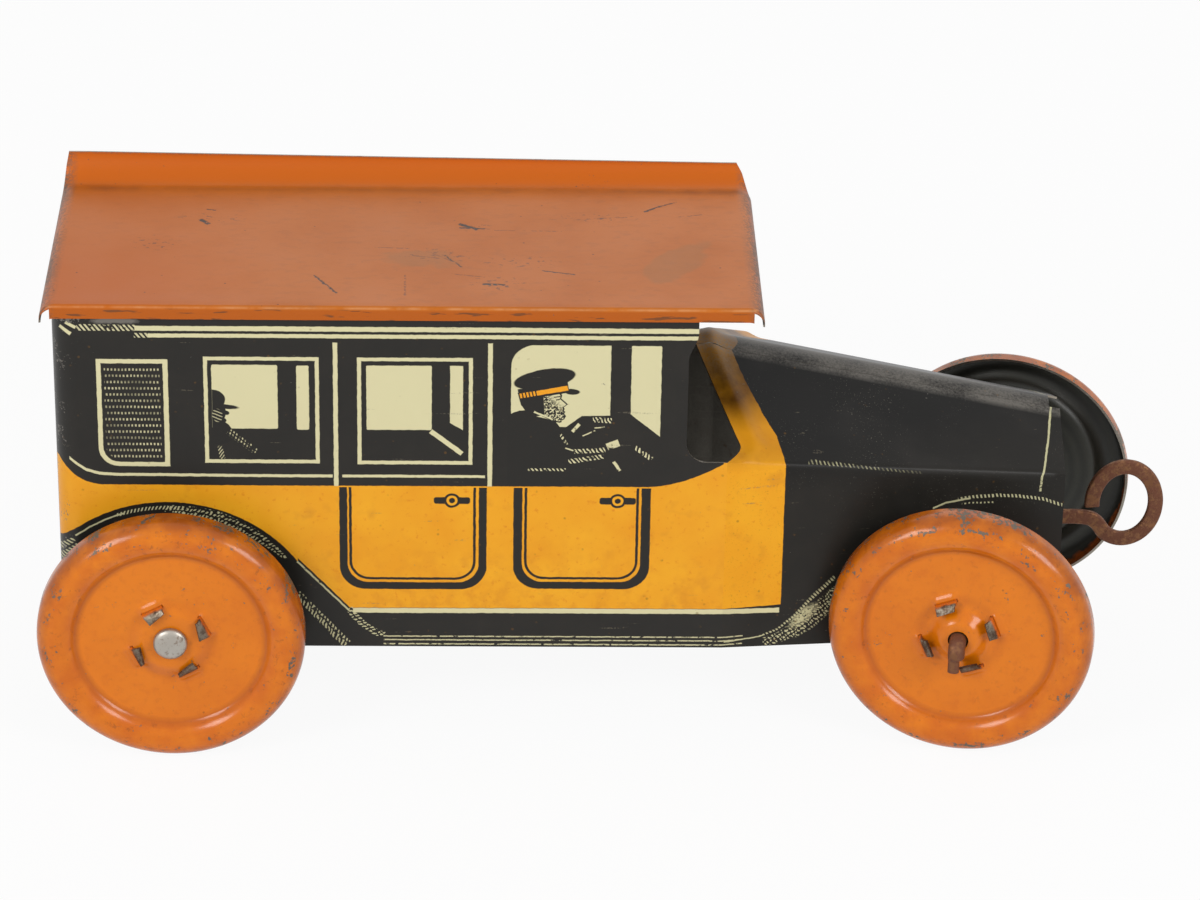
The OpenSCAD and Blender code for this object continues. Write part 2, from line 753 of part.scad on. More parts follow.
// Hub behind the dish: sleeve, flange, and four tabs bent in over the disc
module wheel_hub(tab_turn, sleeve) {
    flange_r = tab_r + 1.6;
    bore_r = axle_r + run_gap;
    tab_top = 1.7;
    translate([0, 0, -wheel_t]) rotate_extrude() polygon([
        [bore_r, -sleeve], [bore_r + 1.3, -sleeve], [bore_r + 1.3, -tab_t - 1],
        [bore_r + 2.3, -tab_t], [flange_r, -tab_t], [flange_r, 0], [bore_r, 0]
    ]);
    for (i = [0:3]) {
        rotate([0, 0, tab_turn + 90 * i]) translate([tab_r, 0, 0]) {
            translate([-tab_t / 2, -tab_w / 2, -wheel_t - tab_t])
                cube([tab_t, tab_w, wheel_t + tab_t + tab_top]);
            translate([tab_t / 2, -tab_w / 2 + 0.4, tab_top]) rotate([0, -52, 0])
                translate([-tab_t, 0, 0]) cube([tab_t, tab_w - 0.8, 2.2]);
        }
    }
}

// A wheel's place on its axle, with its face outwards
module on_axle(side, y) {
    translate([0, side * y, axle_z]) rotate([-90 * side, 0, 0]) children();
}

module right_rear_wheel() {
    color(tin_orange) place() on_axle(-1, rear_disc_y) wheel_dish(rear_boss_h, rear_boss_r, rear_tab_turn);
}

module left_rear_wheel() {
    color(tin_orange) place() on_axle(1, rear_disc_y) wheel_dish(rear_boss_h, rear_boss_r, rear_tab_turn);
}

module right_rear_hub() {
    color(steel) place() on_axle(-1, rear_disc_y) wheel_hub(rear_tab_turn, rear_sleeve_l);
}

module left_rear_hub() {
    color(steel) place() on_axle(1, rear_disc_y) wheel_hub(rear_tab_turn, rear_sleeve_l);
}

module right_front_wheel() {
    color(tin_orange) steered() on_axle(-1, front_disc_y)
        wheel_dish(front_boss_h, front_boss_r, front_tab_turn);
}

module left_front_wheel() {
    color(tin_orange) steered() on_axle(1, front_disc_y)
        wheel_dish(front_boss_h, front_boss_r, front_tab_turn);
}

module right_front_hub() {
    color(steel) steered() on_axle(-1, front_disc_y) wheel_hub(front_tab_turn, sleeve_l);
}

module left_front_hub() {
    color(steel) steered() on_axle(1, front_disc_y) wheel_hub(front_tab_turn, sleeve_l);
}

// Front axle: round rod with a crimp inside each hub and both ends bent down outside the wheels
module front_axle() {
    elbow_y = front_disc_y + front_boss_h + pass_gap + axle_r;
    crimp_y = front_disc_y - wheel_t - sleeve_l - pass_gap;
    crimp_w = 1.2;
    color(rust) steered() translate([0, 0, axle_z]) union() {
        rod_y(-elbow_y, elbow_y, axle_r);
        for (side = [-1, 1]) {
            translate([0, side * elbow_y, 0]) {
                sphere(r = axle_r);
                translate([0, 0, -bend_l]) cylinder(r = axle_r, h = bend_l);
            }
            translate([0, side * (crimp_y - crimp_w / 2), 0]) rod_y(-crimp_w / 2, crimp_w / 2, axle_r + 0.8);
        }
    }
}

// Yoke under the bolster: a web with two ears that hold the axle
module axle_yoke() {
    ear_low = axle_z - axle_r - 2;
    color(steel) steered() difference() {
        union() {
            translate([-yoke_l / 2, -ear_y, yoke_z]) cube([yoke_l, 2 * ear_y, yoke_t]);
            for (side = [-1, 1]) {
                translate([-yoke_l / 2, side * ear_y - (side > 0 ? yoke_t : 0), ear_low])
                    cube([yoke_l, yoke_t, yoke_z - ear_low]);
            }
        }
        translate([0, 0, axle_z]) rod_y(-ear_y - 1, ear_y + 1, axle_r);
        translate([0, 0, yoke_z - 1]) cylinder(r = rivet_r, h = 3);
    }
}

module steering_rivet() {
    top = bolster_z + bolster_t + seat_gap;
    color(steel) steered() union() {
        translate([0, 0, yoke_z - rivet_head_h]) cylinder(r = rivet_head_r, h = rivet_head_h);
        translate([0, 0, yoke_z]) cylinder(r = rivet_r, h = top - yoke_z);
        translate([0, 0, top]) cylinder(r = rivet_head_r, h = rivet_head_h);
    }
}

right_side();
left_side();
roof();
nose_plate();
base_plate();
motor_rear_plate();
motor_front_plate();
motor_pillars();
shaft_hanger();
bolster();
click_rivet();
click_spring();
winding_arbor();
winding_key();
ratchet_wheel();
click();
great_wheel();
spring_post();
mainspring();
drive_shaft();
motor_pinion();
axle_pinion();
rear_axle();
crown_wheel();
right_rear_wheel();
left_rear_wheel();
right_rear_hub();
left_rear_hub();
front_axle();
axle_yoke();
steering_rivet();
right_front_wheel();
left_front_wheel();
right_front_hub();
left_front_hub();
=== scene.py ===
import math
from functools import reduce
from operator import and_, or_

import bpy
import numpy as np
from mathutils import Matrix


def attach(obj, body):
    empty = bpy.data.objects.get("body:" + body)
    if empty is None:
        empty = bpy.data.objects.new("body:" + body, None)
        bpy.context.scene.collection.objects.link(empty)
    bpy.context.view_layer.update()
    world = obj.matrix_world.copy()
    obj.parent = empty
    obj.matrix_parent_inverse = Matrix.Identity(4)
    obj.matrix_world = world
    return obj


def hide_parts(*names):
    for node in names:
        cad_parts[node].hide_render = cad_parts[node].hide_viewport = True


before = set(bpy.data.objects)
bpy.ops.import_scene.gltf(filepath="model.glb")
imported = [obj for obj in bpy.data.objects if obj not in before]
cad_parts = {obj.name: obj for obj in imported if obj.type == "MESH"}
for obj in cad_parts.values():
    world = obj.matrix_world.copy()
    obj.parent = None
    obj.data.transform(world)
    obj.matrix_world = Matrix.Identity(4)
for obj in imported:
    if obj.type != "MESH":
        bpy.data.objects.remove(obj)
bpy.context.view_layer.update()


# Body sides: two bent sheets of printed tinplate, each half of the back, a round corner, the cab wall and half
# of the bonnet. The left sheet also carries the rounded strip that laps over the ridge of the bonnet.
REAR_AXLE_X, AXLE_Z, WHEELBASE = -104.3, 31.75, 196.7
BOTTOM, SILL, TOP = 23.4, 73.4, 113.2
BACK, CORNER, HALF = -26.8, 6.0, 36.0
TAPER, NOSE, NOSE_HALF, NOSE_DROP = 131.0, 213.0, 21.6, 4.0
NOSE_CREASE, RIDGE_HALF, RIDGE_Z = 63.3, (4.0, 3.1), (87.7, 71.6)
POST, POST_R, POST_FLARE, CLOSING = 121.3, 5.0, 2.2, 108.0
COWL_OUT, COWL_BACK, COWL_ROUND = 3.4, 10.0, 0.15
BEAD_IN, BEAD_W, BEAD_H = 4.0, 2.3, 1.1
NOTCH_HALF, NOTCH_ROWS = 8.4, 13
SHEET, FOLD = 0.5, 35


def toy(points):
    """Millimetres counted from the rear axle, on the ground, moved into the row's frame in metres."""
    return (np.asarray(points, float) + [REAR_AXLE_X, 0, 0]) / 1000


def ease(t):
    """Smooth step from 0 to 1: 3t^2 - 2t^3 with t held between 0 and 1."""
    t = np.clip(t, 0, 1)
    return t * t * (3 - 2 * t)


def quads(rows, columns, closed=False):
    """The faces of a grid: each joins a point to its neighbours in the next column and the next row."""
    i, j = np.meshgrid(np.arange(rows - 1), np.arange(columns - (not closed)), indexing="ij")
    k = (j + 1) % columns
    here, above = i * columns, (i + 1) * columns
    return np.stack([here + j, here + k, above + k, above + j], -1).reshape(-1, 4)


def joined(grids):
    """Several (points, faces) as one, with each grid's face numbers moved past the points before it."""
    counts = np.cumsum([0] + [len(points.reshape(-1, 3)) for points, _ in grids[:-1]])
    points = np.concatenate([points.reshape(-1, 3) for points, _ in grids])
    return points, np.concatenate([faces + start for (_, faces), start in zip(grids, counts)])


def piece(name, points, faces, fold=FOLD):
    """A mesh object at the origin, with doubled points merged and folds over the given angle kept sharp."""
    points, faces = np.asarray(points, float).reshape(-1, 3), np.asarray(faces)
    _, first, place = np.unique(np.round(points * 1e7).astype(np.int64), axis=0, return_index=True,
                                return_inverse=True)
    faces = place.reshape(-1)[faces]
    whole = (np.sort(faces, 1)[:, 1:] != np.sort(faces, 1)[:, :-1]).sum(1) > 1
    mesh = bpy.data.meshes.new(name)
    mesh.from_pydata(points[first].tolist(), [], [list(dict.fromkeys(f)) for f in faces[whole].tolist()])
    mesh.validate()
    mesh.shade_smooth()
    mesh.set_sharp_from_angle(angle=math.radians(fold))
    made = bpy.data.objects.new(name, mesh)
    bpy.context.scene.collection.objects.link(made)
    return made


def pressed(sheet, thickness, cutters=(), fold=FOLD):
    """Gives a sheet its thickness inwards and cuts it with closed tools: face 0, inside 1, cut edge 2."""
    for _ in range(3):
        sheet.data.materials.append(None)
    wall = sheet.modifiers.new("wall", "SOLIDIFY")
    wall.thickness, wall.offset, wall.use_even_offset = thickness / 1000, -1, True
    wall.material_offset, wall.material_offset_rim = 1, 2
    for cutter in cutters:
        cut = sheet.modifiers.new("cut", "BOOLEAN")
        cut.object, cut.operation, cut.solver = cutter, "DIFFERENCE", "EXACT"
    bpy.context.view_layer.update()
    mesh = bpy.data.meshes.new_from_object(sheet.evaluated_get(bpy.context.evaluated_depsgraph_get()))
    sheet.modifiers.clear()
    sheet.data = mesh
    mesh.name = sheet.name
    mesh.set_sharp_from_angle(angle=math.radians(fold))
    for cutter in cutters:
        bpy.data.objects.remove(cutter)
    return sheet


def rod_tool(start, end, radius, count=40):
    """A closed round rod across the car between two points in millimetres, as a cutting tool."""
    angle = np.linspace(0, 2 * np.pi, count, endpoint=False)
    ring = np.stack([radius * np.cos(angle), 0 * angle, radius * np.sin(angle)], -1)
    points = np.concatenate([ring + start, ring + end, [start, end]])
    side = quads(2, count, True)[:, ::-1]
    k = np.arange(count)
    caps = [np.stack([k, (k + 1) % count, 0 * k + 2 * count, 0 * k + 2 * count], -1),
            np.stack([(k + 1) % count + count, k + count, 0 * k + 2 * count + 1, 0 * k + 2 * count + 1], -1)]
    return piece("tool", toy(points), np.concatenate([side] + caps))


def nose_part(x):
    """How far along the bonnet a place is: 0 at the cowl, 1 at the nose."""
    return np.clip((x - TAPER) / (NOSE - TAPER), 0, 1)


def side_y(x):
    """Half width of the body: even along the cab, then narrowing straight to the nose."""
    return HALF + (NOSE_HALF - HALF) * nose_part(x)


def crease_z(x):
    """Height of the fold between the bonnet's side and its panel: falls straight to the nose."""
    return SILL + (NOSE_CREASE - SILL) * nose_part(x)


def ridge_y(x):
    """Half width of the strip along the ridge."""
    return RIDGE_HALF[0] + (RIDGE_HALF[1] - RIDGE_HALF[0]) * nose_part(x)


def ridge_z(x):
    """Height of the ridge: one straight line, also behind the cowl's edge."""
    return RIDGE_Z[0] + (RIDGE_Z[1] - RIDGE_Z[0]) * (x - TAPER) / (NOSE - TAPER)


def post_edge(z):
    """Front edge of the cab wall over the sill: a quarter round into an upright post that flares under the roof."""
    under = np.clip(SILL + POST_R - z, 0, POST_R)
    round_part = POST + POST_R - np.sqrt(np.clip(POST_R ** 2 - under ** 2, 0, None))
    return np.where(z < SILL + POST_R, round_part, POST) + POST_FLARE * ease((z - 100) / 7)


def dents(x, z, depth):
    """Shallow hollows of handled tin: three slow waves of different lengths, added up."""
    return depth * (np.sin(x / 17.3 + z / 23.1) + 0.6 * np.sin(x / 9.1 - z / 12.7 + 1.3)
                    + 0.5 * np.sin(z / 7.9 + x / 31 + 2.2))


def cab_wall(rise):
    """Cab sheet: plan path from the seam at the back, round the corner and along the side, times a height.
    Above the sill the last columns close up to the post's edge, and the top row rises where the roof is turned up."""
    turn = np.linspace(0, np.pi / 2, 13)
    path = np.concatenate([
        np.stack([np.full(12, BACK), np.linspace(-0.05, -HALF + CORNER, 12)], -1),
        np.stack([BACK + CORNER - CORNER * np.cos(turn), -HALF + CORNER - CORNER * np.sin(turn)], -1)[1:],
        np.stack([np.linspace(BACK + CORNER, CLOSING, 66), np.full(66, -HALF)], -1)[1:],
        np.stack([np.linspace(CLOSING, POST + POST_R, 12), np.full(12, -HALF)], -1)[1:],
    ])
    ahead = np.clip((path[:, 0] - CLOSING) / (POST + POST_R - CLOSING), 0, 1)
    front = np.stack([np.linspace(POST + POST_R, TAPER, 5), np.full(5, -HALF)], -1)[1:]
    low_path = np.concatenate([path, front])
    low_z = np.linspace(BOTTOM, SILL, 37)
    low = np.empty((37, len(low_path), 3))
    low[..., :2], low[..., 2] = low_path, low_z[:, None]
    high_z = np.concatenate([SILL + POST_R * (1 - np.cos(np.linspace(0, np.pi / 2, 12))),
                             np.linspace(SILL + POST_R, TOP, 34)[1:]])
    high = np.empty((len(high_z), len(path), 3))
    high[..., 1], high[..., 2] = path[:, 1], high_z[:, None]
    high[..., 0] = path[:, 0] + ahead * (post_edge(high_z)[:, None] - POST - POST_R)
    lift = rise[0] + (rise[1] - rise[0]) * (path[:, 0] - BACK) / (POST - BACK)
    high[-1, :, 2] += np.where(path[:, 1] < -HALF + 0.01, lift, 0)
    for part in (low, high):
        flat = ease((part[..., 0] + 22) / 12) * ease((128 - part[..., 0]) / 10) * ease((part[..., 2] - 24) / 8)
        part[..., 1] += flat * dents(part[..., 0], part[..., 2], 0.06) * (part[..., 1] < -HALF + 1)
    return [(low, quads(*low.shape[:2])), (high, quads(*high.shape[:2]))]


def bonnet_half(strip):
    """Half of the bonnet: columns run from the cowl's swept edge to the nose, rows from the bottom edge up the side,
    over a softened crease and up the panel to the ridge. A bead is pressed up along the cowl's edge."""
    s = np.concatenate([np.linspace(0, 0.12, 19), np.linspace(0.12, 1, 52)[1:]])[:, None]
    v = np.linspace(0, 1, 37)
    x = TAPER + s * (NOSE - TAPER) + 0 * v
    low = BOTTOM - NOSE_DROP * nose_part(x)
    side = np.stack([x, -side_y(x), low + v * (crease_z(x) - low)], -1)
    g = np.concatenate([np.linspace(0, 0.16, 9), np.linspace(0.16, 1, 26)[1:]])[1:]
    swept_out, swept_back = np.clip(g / COWL_ROUND, 0, 1), np.clip((g - COWL_ROUND) / (1 - COWL_ROUND), 0, 1)
    edge = TAPER + COWL_OUT * np.sin(np.pi / 2 * swept_out) - COWL_BACK * swept_back
    x = edge + s * (NOSE - edge)
    lift = BEAD_H * np.exp(-((x - edge - BEAD_IN) / BEAD_W) ** 2) * swept_out
    panel = np.stack([x, -(side_y(x) + g * (ridge_y(x) - side_y(x))) - 0.4 * lift,
                      crease_z(x) + g * (ridge_z(x) - crease_z(x)) + 0.9 * lift], -1)
    panel[..., 2] += 0.05 * ease(g / 0.2) * ease((1 - g) / 0.2) * np.sin(x / 11 + 5 * g) * ease(s / 0.2)
    rows = np.concatenate([side, panel], 1)
    soft = ease(s * 12) * ease((1 - s) * 20)
    reach = 1.4
    fold = side[:, -1:, :]
    down, out = side[:, -5:-4, :] - fold, panel[:, 2:3, :] - fold
    down, out = (way / np.linalg.norm(way, axis=-1, keepdims=True) for way in (down, out))
    far = np.linalg.norm(rows - fold, axis=-1, keepdims=True)
    near = np.clip(1 - far / reach, 0, 1) ** 2
    rows += soft[..., None] * near * 0.25 * reach * (down + out)
    if strip:
        f = np.linspace(-1, 1, 13)[1:]
        edge = TAPER + COWL_OUT - COWL_BACK
        x = edge + s * (NOSE - 2.6 * ease((f + 1) / 0.3) - edge)
        y = -f * (ridge_y(x) - 0.1 * (f > 0))
        z = ridge_z(x) + 0.9 * (1 - f * f) + 0.9 * BEAD_H * np.exp(-((x - edge - BEAD_IN) / BEAD_W) ** 2)
        rows = np.concatenate([rows, np.stack([x, -y, z], -1)], 1)
    grid = rows.transpose(1, 0, 2)
    faces = quads(*grid.shape[:2])
    middle = grid.reshape(-1, 3)[faces].mean(1)
    row = np.arange(len(faces)) // (grid.shape[1] - 1)
    notch = (np.abs(middle[:, 0] - WHEELBASE) < NOTCH_HALF) & (row < NOTCH_ROWS)
    return [(grid, faces[~notch])]


def axle_hole():
    """The tool for the hole that the rear axle passes through."""
    return rod_tool([0, -HALF - 1, AXLE_Z], [0, -HALF + 1.5, AXLE_Z], 2.1)


right_points, right_faces = joined(cab_wall((0, 0)) + bonnet_half(False))
left_points, left_faces = joined(cab_wall((2.5, 1.8)) + bonnet_half(True))
right_side = pressed(piece("right_side_sheet", toy(right_points), right_faces), SHEET, [axle_hole()])
left_side = pressed(piece("left_side_sheet", toy(left_points), left_faces), SHEET, [axle_hole()])
mirror = np.empty(len(left_side.data.vertices) * 3)
left_side.data.vertices.foreach_get("co", mirror)
left_side.data.vertices.foreach_set("co", (mirror.reshape(-1, 3) * [1, -1, 1]).ravel())
left_side.data.flip_normals()
left_side.data.set_sharp_from_angle(angle=math.radians(FOLD))


def put(tree, place, value):
    """Sets a node's input to a number or a colour, or links a tone or another node's output to it."""
    value = value.socket if isinstance(value, Tone) else value
    if isinstance(value, bpy.types.NodeSocket):
        tree.links.new(value, place)
    else:
        place.default_value = value


class Tone:
    """A number worked out at each point of a surface. Sums, products and comparisons become Math nodes."""

    def __init__(self, tree, socket):
        self.tree, self.socket = tree, socket

    def do(self, operation, *others, clamp=False):
        node = self.tree.nodes.new("ShaderNodeMath")
        node.operation, node.use_clamp = operation, clamp
        for place, value in zip(node.inputs, (self,) + others):
            put(self.tree, place, value)
        return Tone(self.tree, node.outputs[0])

    def __add__(self, other):
        return self.do("ADD", other)

    def __sub__(self, other):
        return self.do("SUBTRACT", other)

    def __rsub__(self, other):
        return self.do("MULTIPLY_ADD", -1.0, other)

    def __mul__(self, other):
        return self.do("MULTIPLY", other)

    def __truediv__(self, other):
        return self.do("DIVIDE", other)

    def __pow__(self, other):
        return self.do("POWER", other)

    __radd__, __rmul__ = __add__, __mul__

    def __or__(self, other):
        return self.do("MAXIMUM", other)

    def __and__(self, other):
        return self.do("MINIMUM", other)

    def size(self):
        return self.do("ABSOLUTE")

    def between(self, low, high):
        """0 at low and below, 1 at high and above, straight between."""
        return self.do("MULTIPLY_ADD", 1 / (high - low), -low / (high - low), clamp=True)

    def below(self, limit, soft=0.07):
        """1 where the number is under the limit, 0 where it is over it, with a narrow soft edge."""
        if isinstance(limit, Tone):
            return (self - limit).below(0.0, soft)
        return self.between(limit + soft, limit - soft)

    def over(self, limit, soft=0.07):
        """1 where the number is over the limit, 0 where it is under it, with a narrow soft edge."""
        if isinstance(limit, Tone):
            return (self - limit).over(0.0, soft)
        return self.between(limit - soft, limit + soft)


class Finish:
    """A material under work: its node tree, the surface's position in millimetres, and noise and colour steps."""

    def __init__(self, name, centre=(REAR_AXLE_X, 0, 0)):
        self.material = bpy.data.materials.new(name)
        self.material.use_nodes = True
        self.tree = self.material.node_tree
        self.shader = self.tree.nodes["Principled BSDF"]
        seen = self.tree.nodes.new("ShaderNodeTexCoord").outputs["Object"]
        self.place = self.moved(seen, (1000, 1000, 1000), tuple(-c for c in centre))
        split = self.node("SeparateXYZ", self.place)
        self.x, self.y, self.z = (Tone(self.tree, split.outputs[i]) for i in range(3))

    def node(self, kind, *inputs, **named):
        """A new node, with numbers, tones or links put on its inputs by their order or by their names."""
        made = self.tree.nodes.new("ShaderNode" + kind)
        for place, value in zip(made.inputs, inputs):
            put(self.tree, place, value)
        for name, value in named.items():
            put(self.tree, made.inputs[name], value)
        return made

    def moved(self, vector, scale, shift=(0, 0, 0)):
        """A vector times a scale, plus a shift."""
        node = self.tree.nodes.new("ShaderNodeVectorMath")
        node.operation = "MULTIPLY_ADD"
        for place, value in zip(node.inputs, (vector, scale, shift)):
            put(self.tree, place, value)
        return node.outputs[0]

    def noise(self, scale, detail=3, stretch=None, rough=0.55, at=None):
        """Cloudy noise around 0.5, with a given number of features for each millimetre."""
        vector = self.place if at is None else self.node("CombineXYZ", *at).outputs[0]
        if stretch:
            vector = self.moved(vector, stretch)
        node = self.node("TexNoise", Vector=vector, Scale=scale, Detail=detail, Roughness=rough)
        return Tone(self.tree, node.outputs["Fac"])

    def cells(self, scale):
        """Distance to the nearest of many scattered points."""
        return Tone(self.tree, self.node("TexVoronoi", Vector=self.place, Scale=scale).outputs["Distance"])

    def colour(self, first, *steps):
        """A colour laid over by others. Each step is (mask, colour): plain 0 to 255 values or a socket."""
        for mask, over in steps:
            node = self.tree.nodes.new("ShaderNodeMix")
            node.data_type = "RGBA"
            put(self.tree, node.inputs[0], mask)
            for place, value in ((node.inputs[6], first), (node.inputs[7], over)):
                put(self.tree, place, ink(*value) if isinstance(value, tuple) else value)
            first = node.outputs[2]
        return first

    def bump(self, height, depth):
        """Roughens the surface by a height times a depth in millimetres."""
        node = self.node("Bump", Strength=1.0, Distance=depth / 1000, Height=height)
        put(self.tree, self.shader.inputs["Normal"], node.outputs[0])

    def set(self, **values):
        """Puts numbers or worked-out tones on the shader's own sockets."""
        for name, value in values.items():
            put(self.tree, self.shader.inputs[name.replace("_", " ").title().replace("Ior", "IOR")], value)
        return self.material


def ink(red, green, blue):
    """A colour as it is seen, 0 to 255, turned into the linear light that a shader takes."""
    seen = np.array([red, green, blue]) / 255
    return (*np.where(seen < 0.04045, seen / 12.92, ((seen + 0.055) / 1.055) ** 2.4), 1.0)


BLACK, CREAM, YELLOW = (35, 33, 30), (213, 206, 163), (236, 166, 34)
HATCH, BARE = (204, 199, 156), (122, 117, 110)


def waves(t, pitch, share=0.5):
    """1 on a given share of each pitch along t."""
    return (t * (2 * math.pi / pitch)).do("SINE").below(-math.cos(math.pi * share), 0.25)


class Print(Finish):
    """A finish drawn on the side view: along the car and up, in millimetres, both a little uneven as old print is.
    Shapes are distances, negative inside: & joins two shapes, and | keeps what both cover."""

    def __init__(self, name):
        super().__init__(name)
        self.along = self.x + (self.noise(0.55, 2) - 0.5) * 0.3
        self.up = self.z + (self.noise(0.5, 2, (1.1, 1, 0.9)) - 0.5) * 0.3
        self.grain = self.noise(0.8, 2)
        self.jitter = self.grain - 0.5
        self.worn, self.fine = self.noise(0.22, 4, rough=0.7), self.noise(1.7, 3, rough=0.65)

    def turned_by(self, x0, z0, turn):
        """Position about a point, along and across a direction."""
        c, s = math.cos(math.radians(turn)), math.sin(math.radians(turn))
        a, b = self.along - x0, self.up - z0
        return (a * c + b * s, b * c - a * s) if turn else (a, b)

    def box(self, x0, x1, z0, z1, r=0.0):
        """Distance to a box with round corners."""
        a = (self.along - (x0 + x1) / 2).size() - ((x1 - x0) / 2 - r)
        b = (self.up - (z0 + z1) / 2).size() - ((z1 - z0) / 2 - r)
        if r == 0:
            return a | b
        c, d = a | 0.0, b | 0.0
        return (c * c + d * d).do("SQRT") + ((a | b) & 0.0) - r

    def disc(self, x0, z0, rx, rz=None, turn=0.0):
        """Distance to an oval, about right near its edge."""
        rz = rz or rx
        a, b = self.turned_by(x0, z0, turn)
        a, b = a / rx, b / rz
        return ((a * a + b * b).do("SQRT") - 1.0) * min(rx, rz)

    def edge(self, points, t=None):
        """Height of a line that joins points, at each place along the car, or at each t."""
        t = self.along if t is None else t
        points = sorted(points)
        height = points[0][1]
        for (a, p), (b, q) in zip(points, points[1:]):
            height = t.between(a, b) * (q - p) + height
        return height

    def stroke(self, points, thick):
        """A line of even thickness through the points, cut off at its ends."""
        middle, half = (points[0][0] + points[-1][0]) / 2, (points[-1][0] - points[0][0]) / 2
        return ((self.up - self.edge(points)).size() - thick / 2) | ((self.along - middle).size() - half)

    def bar(self, x0, z0, x1, z1, thick):
        """A straight slanted bar between two points."""
        a, b = self.turned_by((x0 + x1) / 2, (z0 + z1) / 2, math.degrees(math.atan2(z1 - z0, x1 - x0)))
        return (a.size() - math.hypot(x1 - x0, z1 - z0) / 2) | (b.size() - thick / 2)


def printed_side(zone):
    """The print of one zone of the sides: the upper cab, the lower cab, or the bonnet with the cowl."""
    f = Print("print_" + zone)
    x, z, worn, fine = f.along, f.up, f.worn, f.fine

    # Ground: black, with the yellow of the lower cab, the cowl and its bead, and painted shade with dirt spots on the
    # cowl
    across = f.y.size()
    belt = x.between(-15, -26) ** 2.2 * 6.3 + ((x - 112) / 18.0 | 0.0) ** 1.8 * 6.1 + 66.8
    warm = f.colour(YELLOW, (f.noise(0.06, 3).between(0.35, 0.75), (228, 150, 26)),
                    (f.noise(0.9, 2).between(0.62, 0.8), (220, 136, 24)),
                    (f.noise(0.14, 3).between(0.6, 0.74) * 0.35, (196, 124, 34)))
    dark = f.colour(BLACK, (f.noise(0.12, 3).between(0.4, 0.8), (40, 37, 33)))
    if zone == "upper":
        yellow = z.below(belt) | f.x.over(130.2)
    elif zone == "lower":
        ring = f.disc(-0.6, 25.2, 37)
        arch = ring.below(0.0) | ((z - 47.3 + (x - 29.8) * 1.085) | (29.8 - x)).below(0.0)
        yellow = z.over(34) * (1 - arch * x.below(43))
        warm = f.colour(warm, (f.z.below(46, 12.0) * f.noise(0.3, 3).between(0.45, 0.7) * 0.5, (206, 128, 30)))
    else:
        cowl = (f.x.over(130.2) | f.x.over(121.9) * across.below(35.2)) * f.z.below(97)
        bonnet = f.edge([(71.5, 145), (72.7, 144.6), (75.4, 143.1), (78.4, 140.1), (80.6, 138.2), (82.5, 136.5),
                         (84.6, 134.9), (86.1, 133.8), (87.3, 133.1), (88.6, 136.5)], z)
        yellow = (z.below(belt) | cowl) * x.below(bonnet) * z.over(34)
        # Painted shade with some dirt: the cowl's yellow turns dark brown towards its top, for the roof's shadow and
        # the bead's turned-away side; noise adds dirt spots
        darkening = f.edge([(70.5, 0.0), (74, 0.24), (75.5, 0.18), (77, 0.14), (78.7, 0.34), (81.5, 0.9), (85, 0.95),
                       (87, 0.75), (91, 0.5)], f.z)
        darkening = darkening * (0.78 + f.noise(0.16, 3).between(0.25, 0.6) * 0.25) | fine.between(0.6, 0.75) * 0.3
        warm = f.colour(warm, (darkening * cowl, (62, 34, 12)),
                        (f.z.between(83.5, 87) * fine.between(0.3, 0.6) * 0.7, (122, 98, 70)))
        # Painted shade: the black is painted darker higher up, over the bonnet's top panel, against the light that
        # falls on it from above
        dark = f.colour(dark, (f.z.between(64, 74), (23, 22, 21)))
    paint = f.colour(dark, (yellow, warm))

    # Lines: the two under the roof, the belt and the door posts above; the sill and three thin lines below
    if zone == "upper":
        cream = f.box(-7.2, 124, 107.1, 108.35) & f.box(-4.2, 124, 105.4, 106.4)
        curve = [(-23.4, 73.6), (-21.6, 72.2), (-19.5, 70.7), (-16.5, 69.8), (-13, 69.5), (38.2, 69.4)]
        cream = cream & f.stroke(curve, 0.75)
        cream = (cream & f.box(40.5, 74, 69.05, 69.75) & f.box(38.55, 39.6, 66.8, 104.3)
                 & f.box(74.6, 75.7, 66.8, 104.3))
        cream = cream & f.bar(-24.6, 107.6, -22, 106.1, 0.9) & f.bar(-23.2, 108.9, -20.8, 107.8, 0.8)
        faint = (waves(x * 0.8 + z * 0.6, 0.9, 0.5)
                 * (f.box(-20.6, -6.8, 107, 108.6) & f.box(-7.4, -3.8, 105.3, 106.5)).below(0.0))
    else:
        sill = ((x - 93.7).size() - 51) | ((z - 33.25 + x.between(131, 145) * 0.8).size() - 0.65)
        thin = (z - 26.2).size() & (z - 25.2).size() & (z - 24.1).size()
        cream, faint = sill, thin.below(0.15) * x.over(50) * x.below(136)
    paint = f.colour(paint, (cream.below(0.0) | faint * f.grain.between(0.36, 0.46) * 0.9, CREAM))

    # Pictures and highlights of each zone
    if zone == "upper":
        paint = windows(paint, f)
    elif zone == "lower":
        paint = rear_guard(doors(paint, f), f, ring)
    else:
        paint = front_guard(paint, f)

    # Back: the same bands carried round, with a plain rear window
    if zone != "bonnet":
        back = f.x.below(-26.62, 0.02)
        rear = (across - 27.5).below(0.0) * z.below(66.8) * z.over(34)
        marks = (z - 33.2).size().below(0.6)
        if zone == "upper":
            marks = (((across - 13) | (z - 90).size() - 7.5).below(0.0)
                     | (((across - 14.8) | (z - 90).size() - 9.3).size() - 0.46).below(0.0))
            marks = marks | (z - 107.7).size().below(0.6) | (z - 69.4).size().below(0.37) * across.below(27.5)
        paint = f.colour(paint, (back, f.colour(dark, (rear, warm), (marks, CREAM))))

